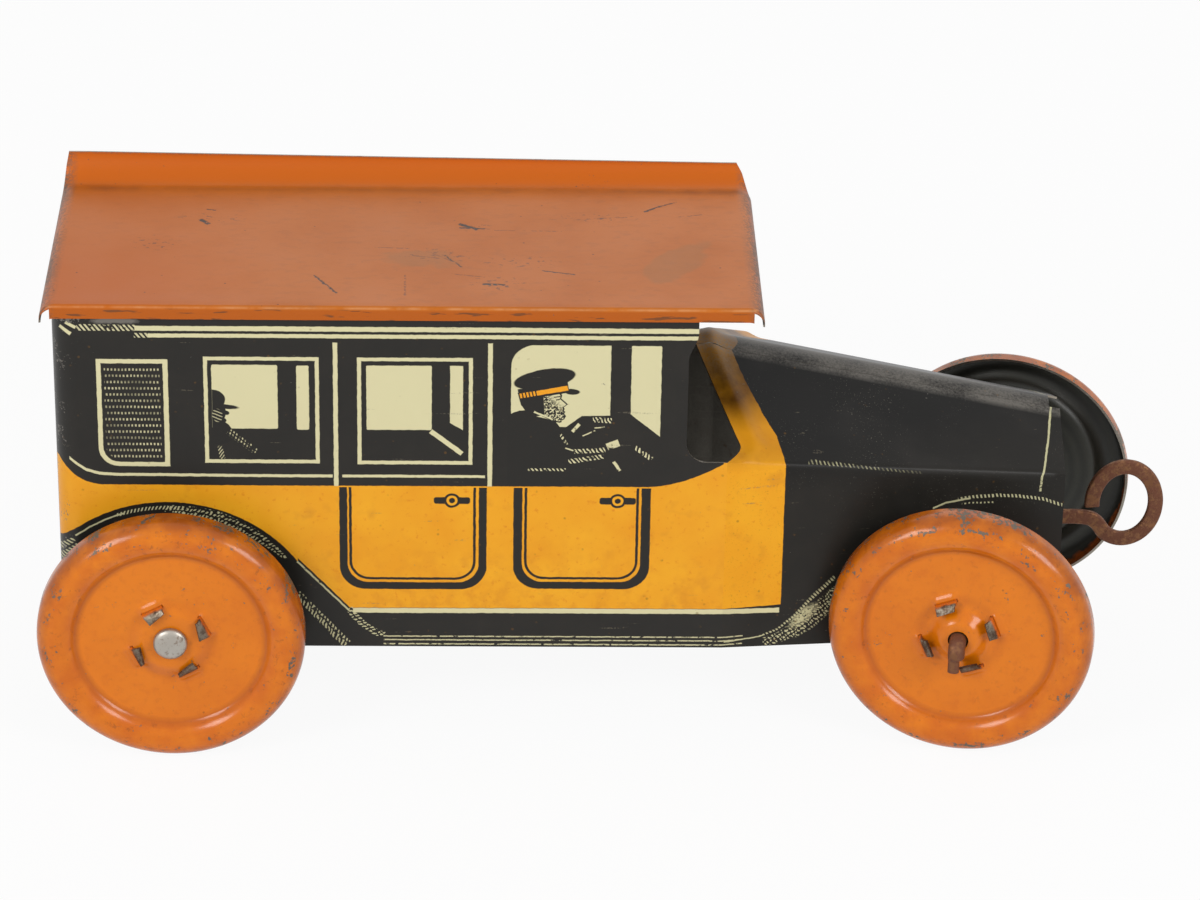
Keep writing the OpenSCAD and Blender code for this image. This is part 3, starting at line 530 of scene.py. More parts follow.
    # Wear: bare corners and edges, specks, fine scratches on the bonnet and a brown shadow round the front wheel
    ends = ((f.x.below(-23, 3.5) * 0.13 + (f.z - 106).between(0.0, 7.0) * f.x.below(-4, 22) * 0.21)
            * across.over(31, 4.0))
    chips = (fine * 0.5 + worn * 0.5 + ends).between(0.672, 0.69)
    if zone == "upper":
        chips = chips | (f.disc(-11.8, 109.6, 4.8, 0.75) + (worn - 0.5) * 1.6).below(0.0, 0.2)
    scratch = f.noise(0.33, 2, (0.16, 1, 2.4)).between(0.7, 0.72) * fine.between(0.45, 0.6)
    specks = f.cells(0.33).below(0.1, 0.05) * worn.between(0.5, 0.6)
    rough = 0.36 + (fine - 0.5) * 0.16
    if zone == "bonnet":
        hood = 1 - yellow
        dust = (f.noise(2.3, 3, rough=0.7).between(0.655, 0.69) * f.noise(0.05, 3).between(0.4, 0.62)
                * f.z.over(48, 6.0))
        # Painted sheen: grey clouds on the black bonnet stand in for the soft sheen of light on its gloss
        painted_sheen = f.noise(0.035, 3).between(0.5, 0.7) * 0.16
        # Grey patches along the ridge: partly wear, partly a painted sheen of the light from above
        patches = (across.below(5.2, 0.8) * f.z.over(70)
                  * (f.noise(0.12, 3, (0.5, 1, 1)) * 0.6 + fine * 0.4).between(0.36, 0.58))
        tint = f.disc(193, 34, 27, 20).below(0.0, 4.0) * 0.35
        paint = f.colour(paint, (tint * hood, (44, 28, 20)), (painted_sheen * hood, (74, 70, 66)),
                         (dust * hood * 0.6, (150, 146, 132)), (patches * 0.55, (136, 131, 124)))
        rough = rough + patches * 0.1
    paint = f.colour(paint, (specks * 0.5, (112, 78, 28)), (scratch * 0.4, (118, 110, 92)), (chips * 0.9, BARE))
    f.bump(f.noise(0.45, 2) - chips * 0.4, 0.02)
    return f.set(base_color=paint, roughness=rough, metallic=chips * 0.6,
                 specular_ior_level=0.17 if zone == "bonnet" else 0.24)


def windows(paint, f):
    """Upper cab: a louvre of dashes, two rear windows with a passenger in the first, and the driver's window."""
    x, z = f.along, f.up
    frame_out = f.box(-16.4, 12, 71.7, 112, 4.8) | f.box(-16.4, 0.2, 71.7, 99.7)
    frame_in = f.box(-15.3, 12, 72.8, 112, 3.8) | f.box(-15.3, -0.95, 72.8, 98.6)
    row = (z - 73.1) / 1.62
    dash = (waves(z - 73.1, 1.62, 0.36) * waves(x + row.do("FLOOR") * 0.31, 0.83, 0.46)
            * (f.box(-14.6, 12, 73.5, 112, 3.4) | f.box(-14.6, -1.7, 73.5, 98)).below(0.0))
    dash = dash * (0.22 + f.noise(0.25, 2, (0.4, 1, 1.6)).between(0.35, 0.62) * 0.66)
    paint = f.colour(paint, ((frame_out | (0.0 - frame_in)).below(0.0) | dash, CREAM))
    glass = (f.box(8.9, 34.8, 73.2, 100).size() - 0.46) & (f.box(44.6, 70.6, 73, 100).size() - 0.46)
    glass = glass & f.box(10.3, 25.6, 81.8, 98.4, 0.4) & f.box(30, 32.9, 81.6, 98.3, 0.4)
    glass = (glass & f.box(46.3, 61.5, 81.6, 98.4, 0.3)
             & (f.box(65.8, 68.8, 75, 98.4) | (f.edge([(65.8, 83.5), (68.8, 81.6)]) - z)))
    glass = glass & f.bar(61.3, 81.3, 68.6, 75.4, 1.2)
    paint = f.colour(paint, (glass.below(0.0), CREAM))
    paint = passenger(paint, f)
    pane = f.box(80, 115, 60, 103.9, 5.6) | (x - 103.2)
    under = f.edge([(80, 86.0), (82, 86.9), (84.5, 87.0), (86, 84.6), (91, 82.6), (93, 82.7), (96.6, 85.6),
                    (103.2, 85.7)])
    pane = pane | (under - z)
    side_pane = f.box(108.0, 115, 70, 103.9, 0.3) | (f.edge([(108, 86.1), (115, 80.2)]) - z)
    paint = f.colour(paint, ((pane & side_pane).below(0.0), CREAM))
    return driver(paint, f)


def doors(paint, f):
    """Two doors: a black band, a gap and a thin line, with a handle on each."""
    x = f.along
    door = (f.box(39.7, 74.5, 39.1, 90, 6.2) & f.box(80.8, 113.2, 39.3, 90, 6.2)).below(0.0)
    inner = (f.box(41.6, 72.6, 41.0, 90, 5.0) & f.box(82.9, 111.0, 41.2, 90, 5.0)).below(0.0)
    line = (f.box(42.3, 71.6, 42.0, 90, 4.6).size() & f.box(83.7, 110.1, 42.2, 90, 4.6).size()).below(0.32)
    paint = f.colour(paint, (door * (1 - inner) | line, BLACK))
    for middle in (66.3, 105.4):
        grip = ((f.box(middle - 4.3, middle + 4.3, 62.1, 63.9, 0.6) | (1.5 - (x - middle).size()))
                & f.disc(middle, 63, 1.9))
        paint = f.colour(paint, (grip.below(0.0), BLACK), ((f.disc(middle, 63, 1.0).size() - 0.3).below(0.0), YELLOW))
    return paint


def rear_guard(paint, f, ring):
    """Hatched highlights along the rear mudguard's arch and tail. The ring is the distance from the arch's edge."""
    x, z, grain, jitter = f.along, f.up, f.grain, f.jitter
    around = (z - 25.2).do("ARCTAN2", x + 0.6) * 37.0
    thin = (ring + 1.55).size().below(0.2) * around.over(69) * around.below(83)
    ticks = ((ring + 1.5).size().below(0.45) * waves(around + ring * 0.6, 0.9, 0.4) * around.over(55)
             * around.below(71))
    patch = ((ring + 3.4).size().below(1.9) * around.over(84) * waves(around - ring * 0.8, 1.25, 0.42)
             * waves(ring, 1.7, 0.7))
    spread = f.edge([(26, 0.5), (36, 1.5), (46, 1.6), (58, 0.9)], around)
    dots = (ring + 2.3 - (around - 40).size() * 0.03).size().below(spread)
    dots = (dots * around.over(25) * around.below(59) * waves(around + ring * 0.5 + jitter * 1.6, 1.0, 0.46)
            * waves(ring + jitter * 1.8, 1.25, 0.58))
    trail = f.bar(29.6, 46.4, 41.8, 33.2, 0.45).below(0.0) * grain.between(0.3, 0.4)
    a, b = f.turned_by(35.3, 30.8, -50)
    strip = ((b.size() - 1.1 - a * 0.02).below(0.0) * a.size().below(9) * waves(a + b * 0.7 + jitter * 1.4, 1.0, 0.45)
             * waves(b + jitter * 2, 1.7, 0.72))
    a, b = f.turned_by(45.2, 29.4, -42)
    curl = ((b - a * a * 0.035).size().below(0.9) * a.size().below(5.4)
            * waves(a - b * 0.6 + jitter * 1.5, 0.95, 0.45) * waves(b + jitter * 1.5, 1.05, 0.6))
    paint = f.colour(paint, ((thin | ticks | patch | dots | trail | strip | curl) * 0.92, HATCH))
    return paint


def front_guard(paint, f):
    """Hatched highlights on the front mudguard's sweep and arch and the bonnet's fold, and a stripe at the nose."""
    x, z, grain, jitter, fine = f.along, f.up, f.grain, f.jitter, f.fine
    rise = f.edge([(132.6, 25.2), (140.3, 26), (144.3, 27.5), (148.2, 30.8), (152.1, 35.4), (157.5, 40.6)])
    foot = f.edge([(132.6, 22.4), (143.2, 22.9), (150.1, 24.6), (154, 27), (157.5, 31)])
    depth = (rise - z) / (rise - foot)
    within = x.over(131.5) * x.below(158) * depth.over(0.0)
    rim = ((depth - 0.06).size().below(0.07, 0.02) * waves(x + z * 0.9, 1.05, 0.52) * x.over(140)
           | (rise - z - 0.3).size().below(0.16) * x.below(141))
    fill = ((depth - 0.62).size().below(0.32, 0.05) * waves(x + z * 0.8 + jitter * 2.4, 1.05, 0.48)
            * waves(x * 0.7 - z + jitter * 2, 1.25, 0.58) * x.over(141))
    glow = f.disc(150.6, 30.4, 3.6, 1.5, 42).below(0.0, 0.6) * fine.between(0.4, 0.5)
    sweep = (rim | fill | glow) * within
    arc = f.edge([(181, 57.2), (184, 58.4), (187.5, 58.9), (190.7, 59.2), (196.4, 59.1), (202.1, 58.4), (207.9, 57.1),
                  (212.5, 55.1)])
    arc = ((z - arc).size().below(0.42) * waves(x + (z - arc) * 0.3, 0.95, 0.45) * x.over(187)
           | (z - arc + 0.3).size().below(0.24) * x.over(181) * x.below(190))
    arc = (arc * x.below(212.6) | (z - 57.6 + (x - 190).size() * 0.05).size().below(0.2) * waves(x, 0.95, 0.4)
           * x.over(188) * x.below(196))
    fold = f.edge([(150.8, 71.4), (158, 70.3), (166, 68.8), (177.2, 66.8)])
    fold = ((z - fold).size().below(0.3) * waves(x + z * 0.6, 0.9, 0.36) * x.over(150.5) * x.below(178)
            * x.between(186, 158) * (0.25 + grain.between(0.35, 0.6) * 0.45))
    stripe = (x - f.edge([(59.1, 207), (63.2, 207.2), (64.9, 208), (68, 209.4), (72, 210.8)], z)).size()
    stripe = stripe.below(0.26) * z.over(59.2) * (z.over(63.4) | fine.between(0.42, 0.5))
    paint = f.colour(paint, ((sweep | arc | fold | stripe) * 0.92, HATCH))
    return paint


def passenger(paint, f):
    """A plain passenger of own design in the rear window: a round hat with a wide brim, and a hatched shoulder."""
    x, z = f.along, f.up
    inside = x.over(10.3)
    hat = f.disc(10.4, 89.3, 3.0, 2.6) & f.disc(12.6, 87.6, 3.9, 0.62, -6)
    head = f.disc(11.2, 86.0, 2.3, 2.9) & f.disc(13.5, 85.9, 0.8, 0.55, -20) & f.disc(12.7, 83.9, 0.9, 0.7)
    coat = f.disc(10.3, 81.2, 5.0, 3.4, -20)
    light = f.disc(11.5, 85.2, 1.2, 1.7, 8).below(0.0) * waves(x * 0.4 + z, 0.85, 0.3) * 0.7
    a, b = f.turned_by(17.2, 78.4, -40)
    hatch = b.size().below(0.8) * a.size().below(4.2) * waves(a + b * 0.4, 0.85, 0.4) * waves(b, 0.8, 0.55)
    a, b = f.turned_by(12.2, 75.6, -80)
    hatch = (hatch | b.size().below(0.6) * a.size().below(1.8) * waves(a + b, 0.85, 0.4)) * 0.75
    return f.colour(paint, ((hat & head & coat).below(0.0) * inside, BLACK),
                    ((light | hatch * f.grain.between(0.38, 0.5)) * inside, CREAM))


def driver(paint, f):
    """A plain driver of own design in the front window: coat, peaked cap with a band, hands at a steering wheel."""
    x, z = f.along, f.up
    u, v = f.turned_by(88.6, 88.6, 11)
    front = f.edge([(-5.0, 1.6), (-4.6, 2.9), (-3.9, 3.45), (-3.2, 3.1), (-2.7, 3.5), (-2.35, 3.2), (-1.9, 3.5),
                    (-1.4, 3.4), (-0.9, 4.4), (-0.4, 4.1), (0.9, 3.2), (1.6, 3.5), (4.0, 3.2)], v)
    jaw = f.edge([(-2.0, -2.6), (0.2, -4.4), (1.8, -5.1), (3.6, -4.7)], u)
    nape = f.edge([(-5.0, -1.6), (-3.6, -3.4), (-1.5, -5.2), (1.0, -6.2), (4.0, -6.4)], v)
    head = u.below(front) * v.over(jaw & -1.8) * u.over(nape) * v.below(4.2)
    face = head * (u - v * 0.12).over(-0.9)
    stipple = f.noise(2.0, 2).between(0.44, 0.5) * ((3.0 - u) * 0.3 + (-0.6 - v) * 0.2).between(-0.2, 0.5)
    line = (((u - 2.55).size() - 0.5 | (v - 0.75).size() - 0.16).below(0.0, 0.05)
            | ((u - 2.5).size() - 0.75 | (v - 1.5).size() - 0.14).below(0.0, 0.05))
    line = line | ((u - 3.0).size() - 0.5 | (v + 2.6).size() - 0.1).below(0.0, 0.05)
    outline = ((u - front).size().below(0.2) * v.over(-4.8) * v.below(2.2)
               | (v - jaw).size().below(0.2) * u.over(-2) * u.below(2.4))
    cap = ((u + 0.3).size() - 5.9 | (v - 3.6).size() - 1.5) & f.disc(87.8, 95.2, 7.3, 2.5, 11)
    peak = f.disc(94.2, 91.9, 1.9, 0.75, -4)
    band = ((u + 0.3).size() - 5.7 | (v - 3.3).size() - 0.62).below(0.0) * (u.over(-1.6) | waves(u, 0.8, 0.6))
    coat = ((f.edge([(80, 86.0), (82, 86.9), (84.6, 87.0), (86, 85.4), (90.4, 84.2), (91.6, 82.4)]) - z).over(0.0)
            * x.below(91.6) * x.over(79.2))
    paint = f.colour(paint, (coat * z.over(67), BLACK), (head, BLACK), (face, CREAM),
                     (face * stipple | line * face | outline, BLACK))
    paint = f.colour(paint, (cap.below(0.0) | peak.below(0.0), BLACK), (band, (236, 158, 32)))
    light = collar = f.bar(85.4, 86.6, 89.8, 84.6, 0.42).below(0.0)
    marks = ((95.2, 82.4, 52, 1.3, 0.4, 0.0), (101.4, 84.5, -4, 2.2, 0.65, 0.9), (104.0, 78.0, 22, 1.5, 0.9, 0.0),
             (98.6, 76.4, 4, 3.6, 0.6, 0.95), (97.8, 74.2, 10, 4.2, 0.6, 0.95), (105.0, 72.3, -58, 1.4, 0.35, 0.0),
             (111.2, 75.8, -38, 2.5, 0.55, 0.95), (88.4, 71.3, 0, 4.6, 0.35, 1.0), (98.3, 81.0, 26, 1.6, 0.14, 0.0),
             (100.8, 82.6, 8, 1.2, 0.14, 0.0), (92.4, 79.4, -60, 1.6, 0.3, 0.9), (94.2, 76.6, -20, 1.4, 0.16, 0.0))
    for x0, z0, turn, long, wide, pitch in marks:
        a, b = f.turned_by(x0, z0, turn)
        mark = (a.size() - long | b.size() - wide).below(0.0)
        light = light | (mark * waves(a + b * 0.6 + f.jitter * 1.2, pitch, 0.42) if pitch else mark)
    return f.colour(paint, (light * f.grain.between(0.36, 0.46) | collar, CREAM))


def plain_tin(name, colour, dull=0.42, stain=(92, 74, 56), scratched=0.25):
    """Bare or grimy tinplate: a metal with cloudy stains, fine scratches and specks of rust."""
    f = Finish(name)
    cloud, fine = f.noise(0.11, 4), f.noise(1.9, 3)
    spots = (f.noise(0.6, 3) * 0.6 + cloud * 0.4).between(0.58, 0.7)
    scratch = f.noise(0.8, 2, (0.1, 1, 1.6)).between(0.62, 0.66)
    tone = f.colour(colour, (cloud.between(0.4, 0.7) * 0.6, stain), (spots * 0.7, (96, 62, 40)),
                    (scratch * scratched, (190, 188, 180)))
    f.bump(fine + spots * 0.5, 0.03)
    return f.set(base_color=tone, roughness=dull + (fine - 0.5) * 0.3 + spots * 0.2, metallic=0.85 - spots * 0.5)


def zoned(sheet):
    """Gives the sheet's printed faces one of three finishes: upper cab 0, lower cab 3, bonnet and cowl 4."""
    count = len(sheet.data.polygons)
    slot, middle = np.empty(count, np.int32), np.empty(count * 3)
    sheet.data.polygons.foreach_get("material_index", slot)
    sheet.data.polygons.foreach_get("center", middle)
    x, y, z = (middle.reshape(-1, 3) * 1000 - [REAR_AXLE_X, 0, 0]).T
    ahead = (x > TAPER) | (x > 60) & (np.abs(y) < 35.3)
    slot = np.where(slot == 0, np.where(ahead, 4, np.where(z < 66.5, 3, 0)), slot).astype(np.int32)
    for _ in range(2):
        sheet.data.materials.append(None)
    sheet.data.polygons.foreach_set("material_index", slot)


prints = {zone: printed_side(zone) for zone in ("upper", "lower", "bonnet")}
tin_inside = plain_tin("tin_inside", (112, 108, 100), 0.6, (92, 87, 78), 0.03)
tin_edge = plain_tin("tin_edge", (146, 140, 130), 0.36)
for sheet, body_side in ((right_side, "right_side"), (left_side, "left_side")):
    zoned(sheet)
    for slot, finish in enumerate((prints["upper"], tin_inside, tin_edge, prints["lower"], prints["bonnet"])):
        sheet.data.materials[slot] = finish
    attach(sheet, "shell")
    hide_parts(body_side)


# Roof: one sheet of orange-painted tin. Its right edge is bent down over the wall, its left edge is swept up,
# and both ends are curled down into lips. The flat is rubbed and scratched, with bare metal along its edges.
ROOF_Z, ROOF_Y, ROOF_BACK, ROOF_FRONT = 113.7, 36.6, -29.2, 138.7
ROOF_MIDDLE, ROOF_HALF = (ROOF_BACK + ROOF_FRONT) / 2, (ROOF_FRONT - ROOF_BACK) / 2
LIP, BEND, SWEEP, FLANGE = 3.6, 0.9, 6.0, 3.4
RISE, INSET = (6.4, 4.5), (1.6, -3.6)


def roof_sheet():
    """Across: flange, quarter-round bend, flat, swept-up strip. Along: lip, flat, lip, fading in the strip."""
    across = np.concatenate([np.linspace(-2, -1, 4), np.linspace(-1, 0, 8)[1:], np.linspace(0, 1, 30)[1:],
                             np.linspace(1, 2, 20)[1:]])
    curl = np.linspace(np.pi / 2, 0, 11)
    flat = np.linspace(0, 1, 66)[1:-1]
    bend = np.concatenate([curl, 0 * flat, curl[::-1]])
    base = np.concatenate([np.full(11, ROOF_BACK + LIP), ROOF_BACK + LIP + flat * (ROOF_FRONT - ROOF_BACK - 2 * LIP),
                           np.full(11, ROOF_FRONT - LIP)])
    way = np.concatenate([np.full(11, -1.0), 0 * flat, np.full(11, 1.0)])
    f, a = across[:, None], bend[None, :]
    part = (base[None, :] - ROOF_BACK) / (ROOF_FRONT - ROOF_BACK)
    rise = RISE[0] + (RISE[1] - RISE[0]) * part
    fade = 1 - np.clip((f - 1) / 0.6, 0, 1)
    inset = np.where(way[None, :] < 0, INSET[0], INSET[0] + (INSET[1] - INSET[0]) * part)
    inset = np.where(way[None, :] > 0, INSET[1], inset) * np.clip(f - 1, 0, 1)
    x = base[None, :] + way[None, :] * LIP * np.sin(a) + inset
    turn = np.pi / 2 * (1 + np.clip(f, -1, 0))
    up = np.pi / 2 * np.clip(f - 1, 0, 1)
    flat_y = -ROOF_Y + BEND + (2 * ROOF_Y - BEND - SWEEP) * np.clip(f, 0, 1) + SWEEP * np.sin(up)
    y = np.where(f <= 0, -ROOF_Y + BEND * (1 - np.cos(turn)), flat_y)
    z = np.where(f < -1, ROOF_Z - BEND + (f + 1) * (FLANGE - BEND), ROOF_Z - BEND * (1 - np.sin(turn)))
    z = np.where(f > 0, ROOF_Z + rise * (1 - np.cos(up)) ** 0.8, z)
    z = z - fade * LIP * (1 - np.cos(a))
    inner = (ease(f / 0.12) * ease((1.02 - f) / 0.12) * ease((x - ROOF_BACK - 4) / 10)
             * ease((ROOF_FRONT - 4 - x) / 10))
    z = z + inner * (dents(x, y, 0.07) - 0.12)
    grid = np.stack(np.broadcast_arrays(x, y, z), -1)
    faces = quads(*grid.shape[:2])
    middle = grid.reshape(-1, 3)[faces].mean(1)
    row = np.arange(len(faces)) // (grid.shape[1] - 1)
    gone = (row < 3) & ((middle[:, 0] < ROOF_BACK + 2.6) | (middle[:, 0] > ROOF_FRONT - 2.6))
    return grid, faces[~gone]


def roof_paint():
    """Orange paint, duller on the flat as painted light; worn lips, a crease darkened as painted shade and dirt,
    gouges, stains.
    """
    f = Finish("roof_paint")
    cloud, wide, fine, grain = f.noise(0.035, 4), f.noise(0.012, 2), f.noise(1.4, 4, rough=0.65), f.noise(0.8, 2)
    strip = (f.y - 29.8).between(0.0, 3.0)
    flange = f.z.below(112.9, 0.25)
    # Painted light: the flat is painted a duller orange than the strip and the flange, for the broad reflection on
    # the upward flat
    tone = f.colour((192, 104, 22), (wide.between(0.35, 0.65), (186, 100, 18)),
                    (cloud.between(0.45, 0.75), (178, 92, 12)),
                    (f.noise(0.5, 4, (0.5, 1, 1), rough=0.7).between(0.5, 0.72) * 0.4, (160, 88, 30)),
                    (f.x.below(8, 20) * (0.4 + (-8 - f.y).between(-14, 14) * 0.6), (188, 94, 6)),
                    (strip, (200, 98, 8)), (flange, (178, 88, 10)))
    # Painted shade with dirt: a dark brown line along the concave crease under the strip, stronger towards the ends
    crease = (f.y - 29.4 - (f.noise(0.1, 2) - 0.5) * 2).size().below(0.9, 1.5)
    far = ((f.x - ROOF_MIDDLE).size() / ROOF_HALF) ** 4
    tone = f.colour(tone, (crease * f.noise(0.12, 3).between(0.25, 0.6) * (0.45 + far * 0.5), (116, 60, 22)))

    def mark(x0, y0, x1, y1, thick):
        """Distance to a straight scratch between two points: negative inside."""
        length = math.hypot(x1 - x0, y1 - y0)
        c, s = (x1 - x0) / length, (y1 - y0) / length
        a, b = f.x - (x0 + x1) / 2, f.y - (y0 + y1) / 2
        return ((a * c + b * s).size() - length / 2) | ((b * c - a * s + (grain - 0.5) * 1.2).size() - thick / 2)

    stain = ((f.x - 119) / 8.5) ** 2 + ((f.y + 11 - (f.x - 119) * 0.9) / 9.5) ** 2 + (f.noise(0.12, 3) - 0.5) * 1.6
    blot = ((f.x - 59) / 11.0) ** 2 + ((f.y + 10) / 5.5) ** 2 + (f.noise(0.25, 3) - 0.5) * 2.4
    stain = stain.below(0.8, 0.15) * 0.4 | blot.below(0.7, 0.3) * 0.4
    deep = ((33.8, -19.4, 39.4, -29.1, 0.5), (112, 17.4, 116, 20.8, 0.7), (116, 20.8, 120.2, 23.2, 0.5),
            (67.5, 10.2, 72, 7.0, 1.2), (67.6, 8.0, 74, 7.4, 0.6), (73.2, -23.4, 78.5, -23.8, 0.9),
            (64.3, -7.8, 68.4, -14.4, 0.4), (87.1, -15.8, 94.9, -17.9, 0.5), (5.5, 11.6, 7.8, 8.8, 1.1),
            (6.8, 17.4, 9.0, 16.8, 0.5))
    thin = ((47.7, -3.6, 56, -4.1, 0.35), (95.8, 13.1, 107.9, 14.4, 0.4), (55.1, -19, 55.3, -31, 0.4),
            (56, -8, 63, -9.5, 0.4), (76, 6.8, 92, 6.4, 0.3), (60.5, -6, 66, -11, 0.35), (120, 14.5, 126, 16, 0.4),
            (66, -18, 74, -19.6, 0.35))
    gouge, hair = (reduce(and_, (mark(*line) for line in lines)) for lines in (deep, thin))
    patches = ((62, -8, 11, 4.5), (77, -23, 8, 5), (71, 8.5, 5, 3), (8, 12.5, 9, 3), (82, -11, 10, 4),
              (100, 14, 12, 3), (-4, -2, 7, 5))
    fleck = reduce(and_, (((f.x - x0) / long) ** 2 + ((f.y - y0) / wide) ** 2 for x0, y0, long, wide in patches))
    fleck = fleck.between(1.1, 0.2) * f.noise(0.9, 4, (0.6, 1, 1), rough=0.7).between(0.58, 0.63) * 0.8
    gouge = gouge.below(0.0, 0.16) * grain.between(0.34, 0.46)
    hair = hair.below(0.0, 0.16) * grain.between(0.42, 0.52)
    ends = ROOF_HALF - (f.x - ROOF_MIDDLE).size()
    rim = ends.below(2.2, 1.8) * (fine * 0.6 + cloud * 0.4).between(0.44, 0.52) | ends.below(0.5, 0.6) * 0.75
    crest = ((f.z - 118.1 + (f.x - ROOF_MIDDLE) * 0.011).over(0.9, 0.5) * strip
             * (0.35 + fine.between(0.4, 0.6) * 0.65))
    dash = flange * (f.noise(0.5, 3, (0.25, 1, 2.2)).between(0.585, 0.62))
    chips = (fine * 0.7 + cloud * 0.3).between(0.668, 0.685) | rim | crest * 0.8
    # Painted highlight: a pale line along the bend between the flat and the right flange
    bend = ((f.z - 113.25).size().below(0.18, 0.2) * (f.y + 36.2).size().below(0.5, 0.3)
            * f.noise(0.2, 3).between(0.3, 0.6))
    pits = f.cells(0.2).below(0.045, 0.02) * cloud.between(0.42, 0.5) * 0.8
    tone = f.colour(tone, (stain, (150, 98, 46)), (bend * 0.45, (226, 176, 128)), (hair * 0.75, (112, 62, 34)),
                    (chips, (104, 88, 76)), (dash * 0.75, (92, 60, 36)), (fleck, (96, 60, 38)),
                    (gouge | pits, (58, 44, 36)))
    f.bump(f.noise(0.35, 3) * 0.4 + fine * 0.15 - chips * 0.6 - gouge - hair * 0.5, 0.03)
    return f.set(base_color=tone, roughness=0.38 + (cloud - 0.5) * 0.25 + (fine - 0.5) * 0.1 + chips * 0.1,
                 metallic=chips * 0.5, specular_ior_level=0.27)


roof_points, roof_faces = roof_sheet()
roof = pressed(piece("roof_sheet", toy(roof_points), roof_faces), SHEET)
for slot, finish in enumerate((roof_paint(), tin_inside, tin_edge)):
    roof.data.materials[slot] = finish
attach(roof, "shell")
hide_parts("roof")


# Wheels: four dishes pressed from thin sheet, with a round tyre-like rim, a flat disc and a boss in the middle.
# Their faces are dipped in orange paint, worn to grey on the rims. The hollow backs are left dark.
WHEEL_R, RIM_R, RIM_SET, WHEEL_SHEET = AXLE_Z, 4.75, 1.9, 0.6
FRONT_DISC, REAR_DISC = 44.9, 47.9
STEER = math.radians(-12.2)
TAB_R, TAB_W, TAB_T = 9.1, 5.5, 0.7


def steered(x, y):
    """A place on the front axle, turned by the steering angle and moved ahead by the wheelbase."""
    c, s = math.cos(STEER), math.sin(STEER)
    return x * c - y * s + WHEELBASE, x * s + y * c


def tab_way(k, turn):
    """Cosine and sine of the direction of tab k: four tabs, a quarter turn apart."""
    angle = math.radians(turn + 90 * k)
    return math.cos(angle), math.sin(angle)


def at_tab(points, k, turn):
    """Points turned about the wheel's axis to tab k."""
    c, s = tab_way(k, turn)
    x, y = points[..., 0], points[..., 1]
    return np.stack([x * c - y * s, x * s + y * c, points[..., 2]], -1)


def on_axle(points, side, front):
    """Wheel points, face towards +Z, turned outwards onto the axle's end, and steered if it is a front wheel."""
    points = np.asarray(points, float)
    x, y = points[..., 0], side * ((FRONT_DISC if front else REAR_DISC) + points[..., 2])
    if front:
        x, y = steered(x, y)
    return np.stack([x, y, AXLE_Z - side * points[..., 1]], -1)


def dish(boss, boss_r, turn):
    """A profile of radius and height turned about the axle: boss, disc, round rim and tread. The sheet is raised a
    little beside each tab: a bell of height over the distance from the tab's foot."""
    foot = math.pi - math.asin(RIM_SET / RIM_R)
    arc = np.linspace(foot, 0, 34)
    disc = np.concatenate([np.linspace(2.45, 8, 18), np.linspace(8, 13, 16)[1:], np.linspace(13, 21.4, 10)[1:]])
    centre = boss * (0.5 + 0.5 * np.cos(np.pi * np.clip((disc - boss_r + 4) / 4.4, 0, 1)))
    corner = np.array([[21.9, 0.02], [22.3, 0.1], [22.62, 0.36]])
    radius = np.concatenate([disc, corner[:, 0], (WHEEL_R - RIM_R + RIM_R * np.cos(arc))[2:], [WHEEL_R] * 3])
    height = np.concatenate([centre, corner[:, 1], (-RIM_SET + RIM_R * np.sin(arc))[2:],
                             -RIM_SET - np.array([0.7, 1.4, 2.1])])
    angle = np.linspace(0, 2 * np.pi, 168, endpoint=False)
    x, y = radius[:, None] * np.cos(angle), radius[:, None] * np.sin(angle)
    z = height[:, None] + 0 * angle
    for k in range(4):
        c, s = tab_way(k, turn)
        a, b = x * c + y * s - TAB_R, (np.maximum(np.abs(y * c - x * s) - 2.0, 0) / 1.1) ** 2
        z = z + 0.85 * np.exp(-b - ((a - 0.9) / 1.1) ** 2) + 0.35 * np.exp(-b - (a + 1.0) ** 2)
    z = z + 0.06 * np.sin(3 * angle + radius[:, None] / 9) * ease((radius[:, None] - 12) / 8)
    return np.stack([x, y, z], -1), quads(len(radius), len(angle), True)


def slot_tool(k, side, front, turn):
    """The narrow box that cuts a tab's slot through the disc."""
    low, high = np.array([TAB_R - 0.42, -TAB_W / 2 - 0.1, -2]), np.array([TAB_R + 0.42, TAB_W / 2 + 0.1, 4])
    corner = np.array([[x, y, z] for x in (0, 1) for y in (0, 1) for z in (0, 1)], float)
    points = at_tab(low + corner * (high - low), k, turn)
    faces = [[0, 1, 3, 2], [4, 6, 7, 5], [0, 4, 5, 1], [2, 3, 7, 6], [0, 2, 6, 4], [1, 5, 7, 3]]
    return piece("tool", toy(on_axle(points, side, front)), faces)


def wheel_frame(f, side, front):
    """Radius from the axle, height over the disc and angle round it, from the position in millimetres."""
    x, y = f.x, f.y
    if front:
        x = x - WHEELBASE
        x, y = x * math.cos(STEER) + y * math.sin(STEER), y * math.cos(STEER) - x * math.sin(STEER)
    z = f.z - AXLE_Z
    return (x * x + z * z).do("SQRT"), y * side - (FRONT_DISC if front else REAR_DISC), z.do("ARCTAN2", x)


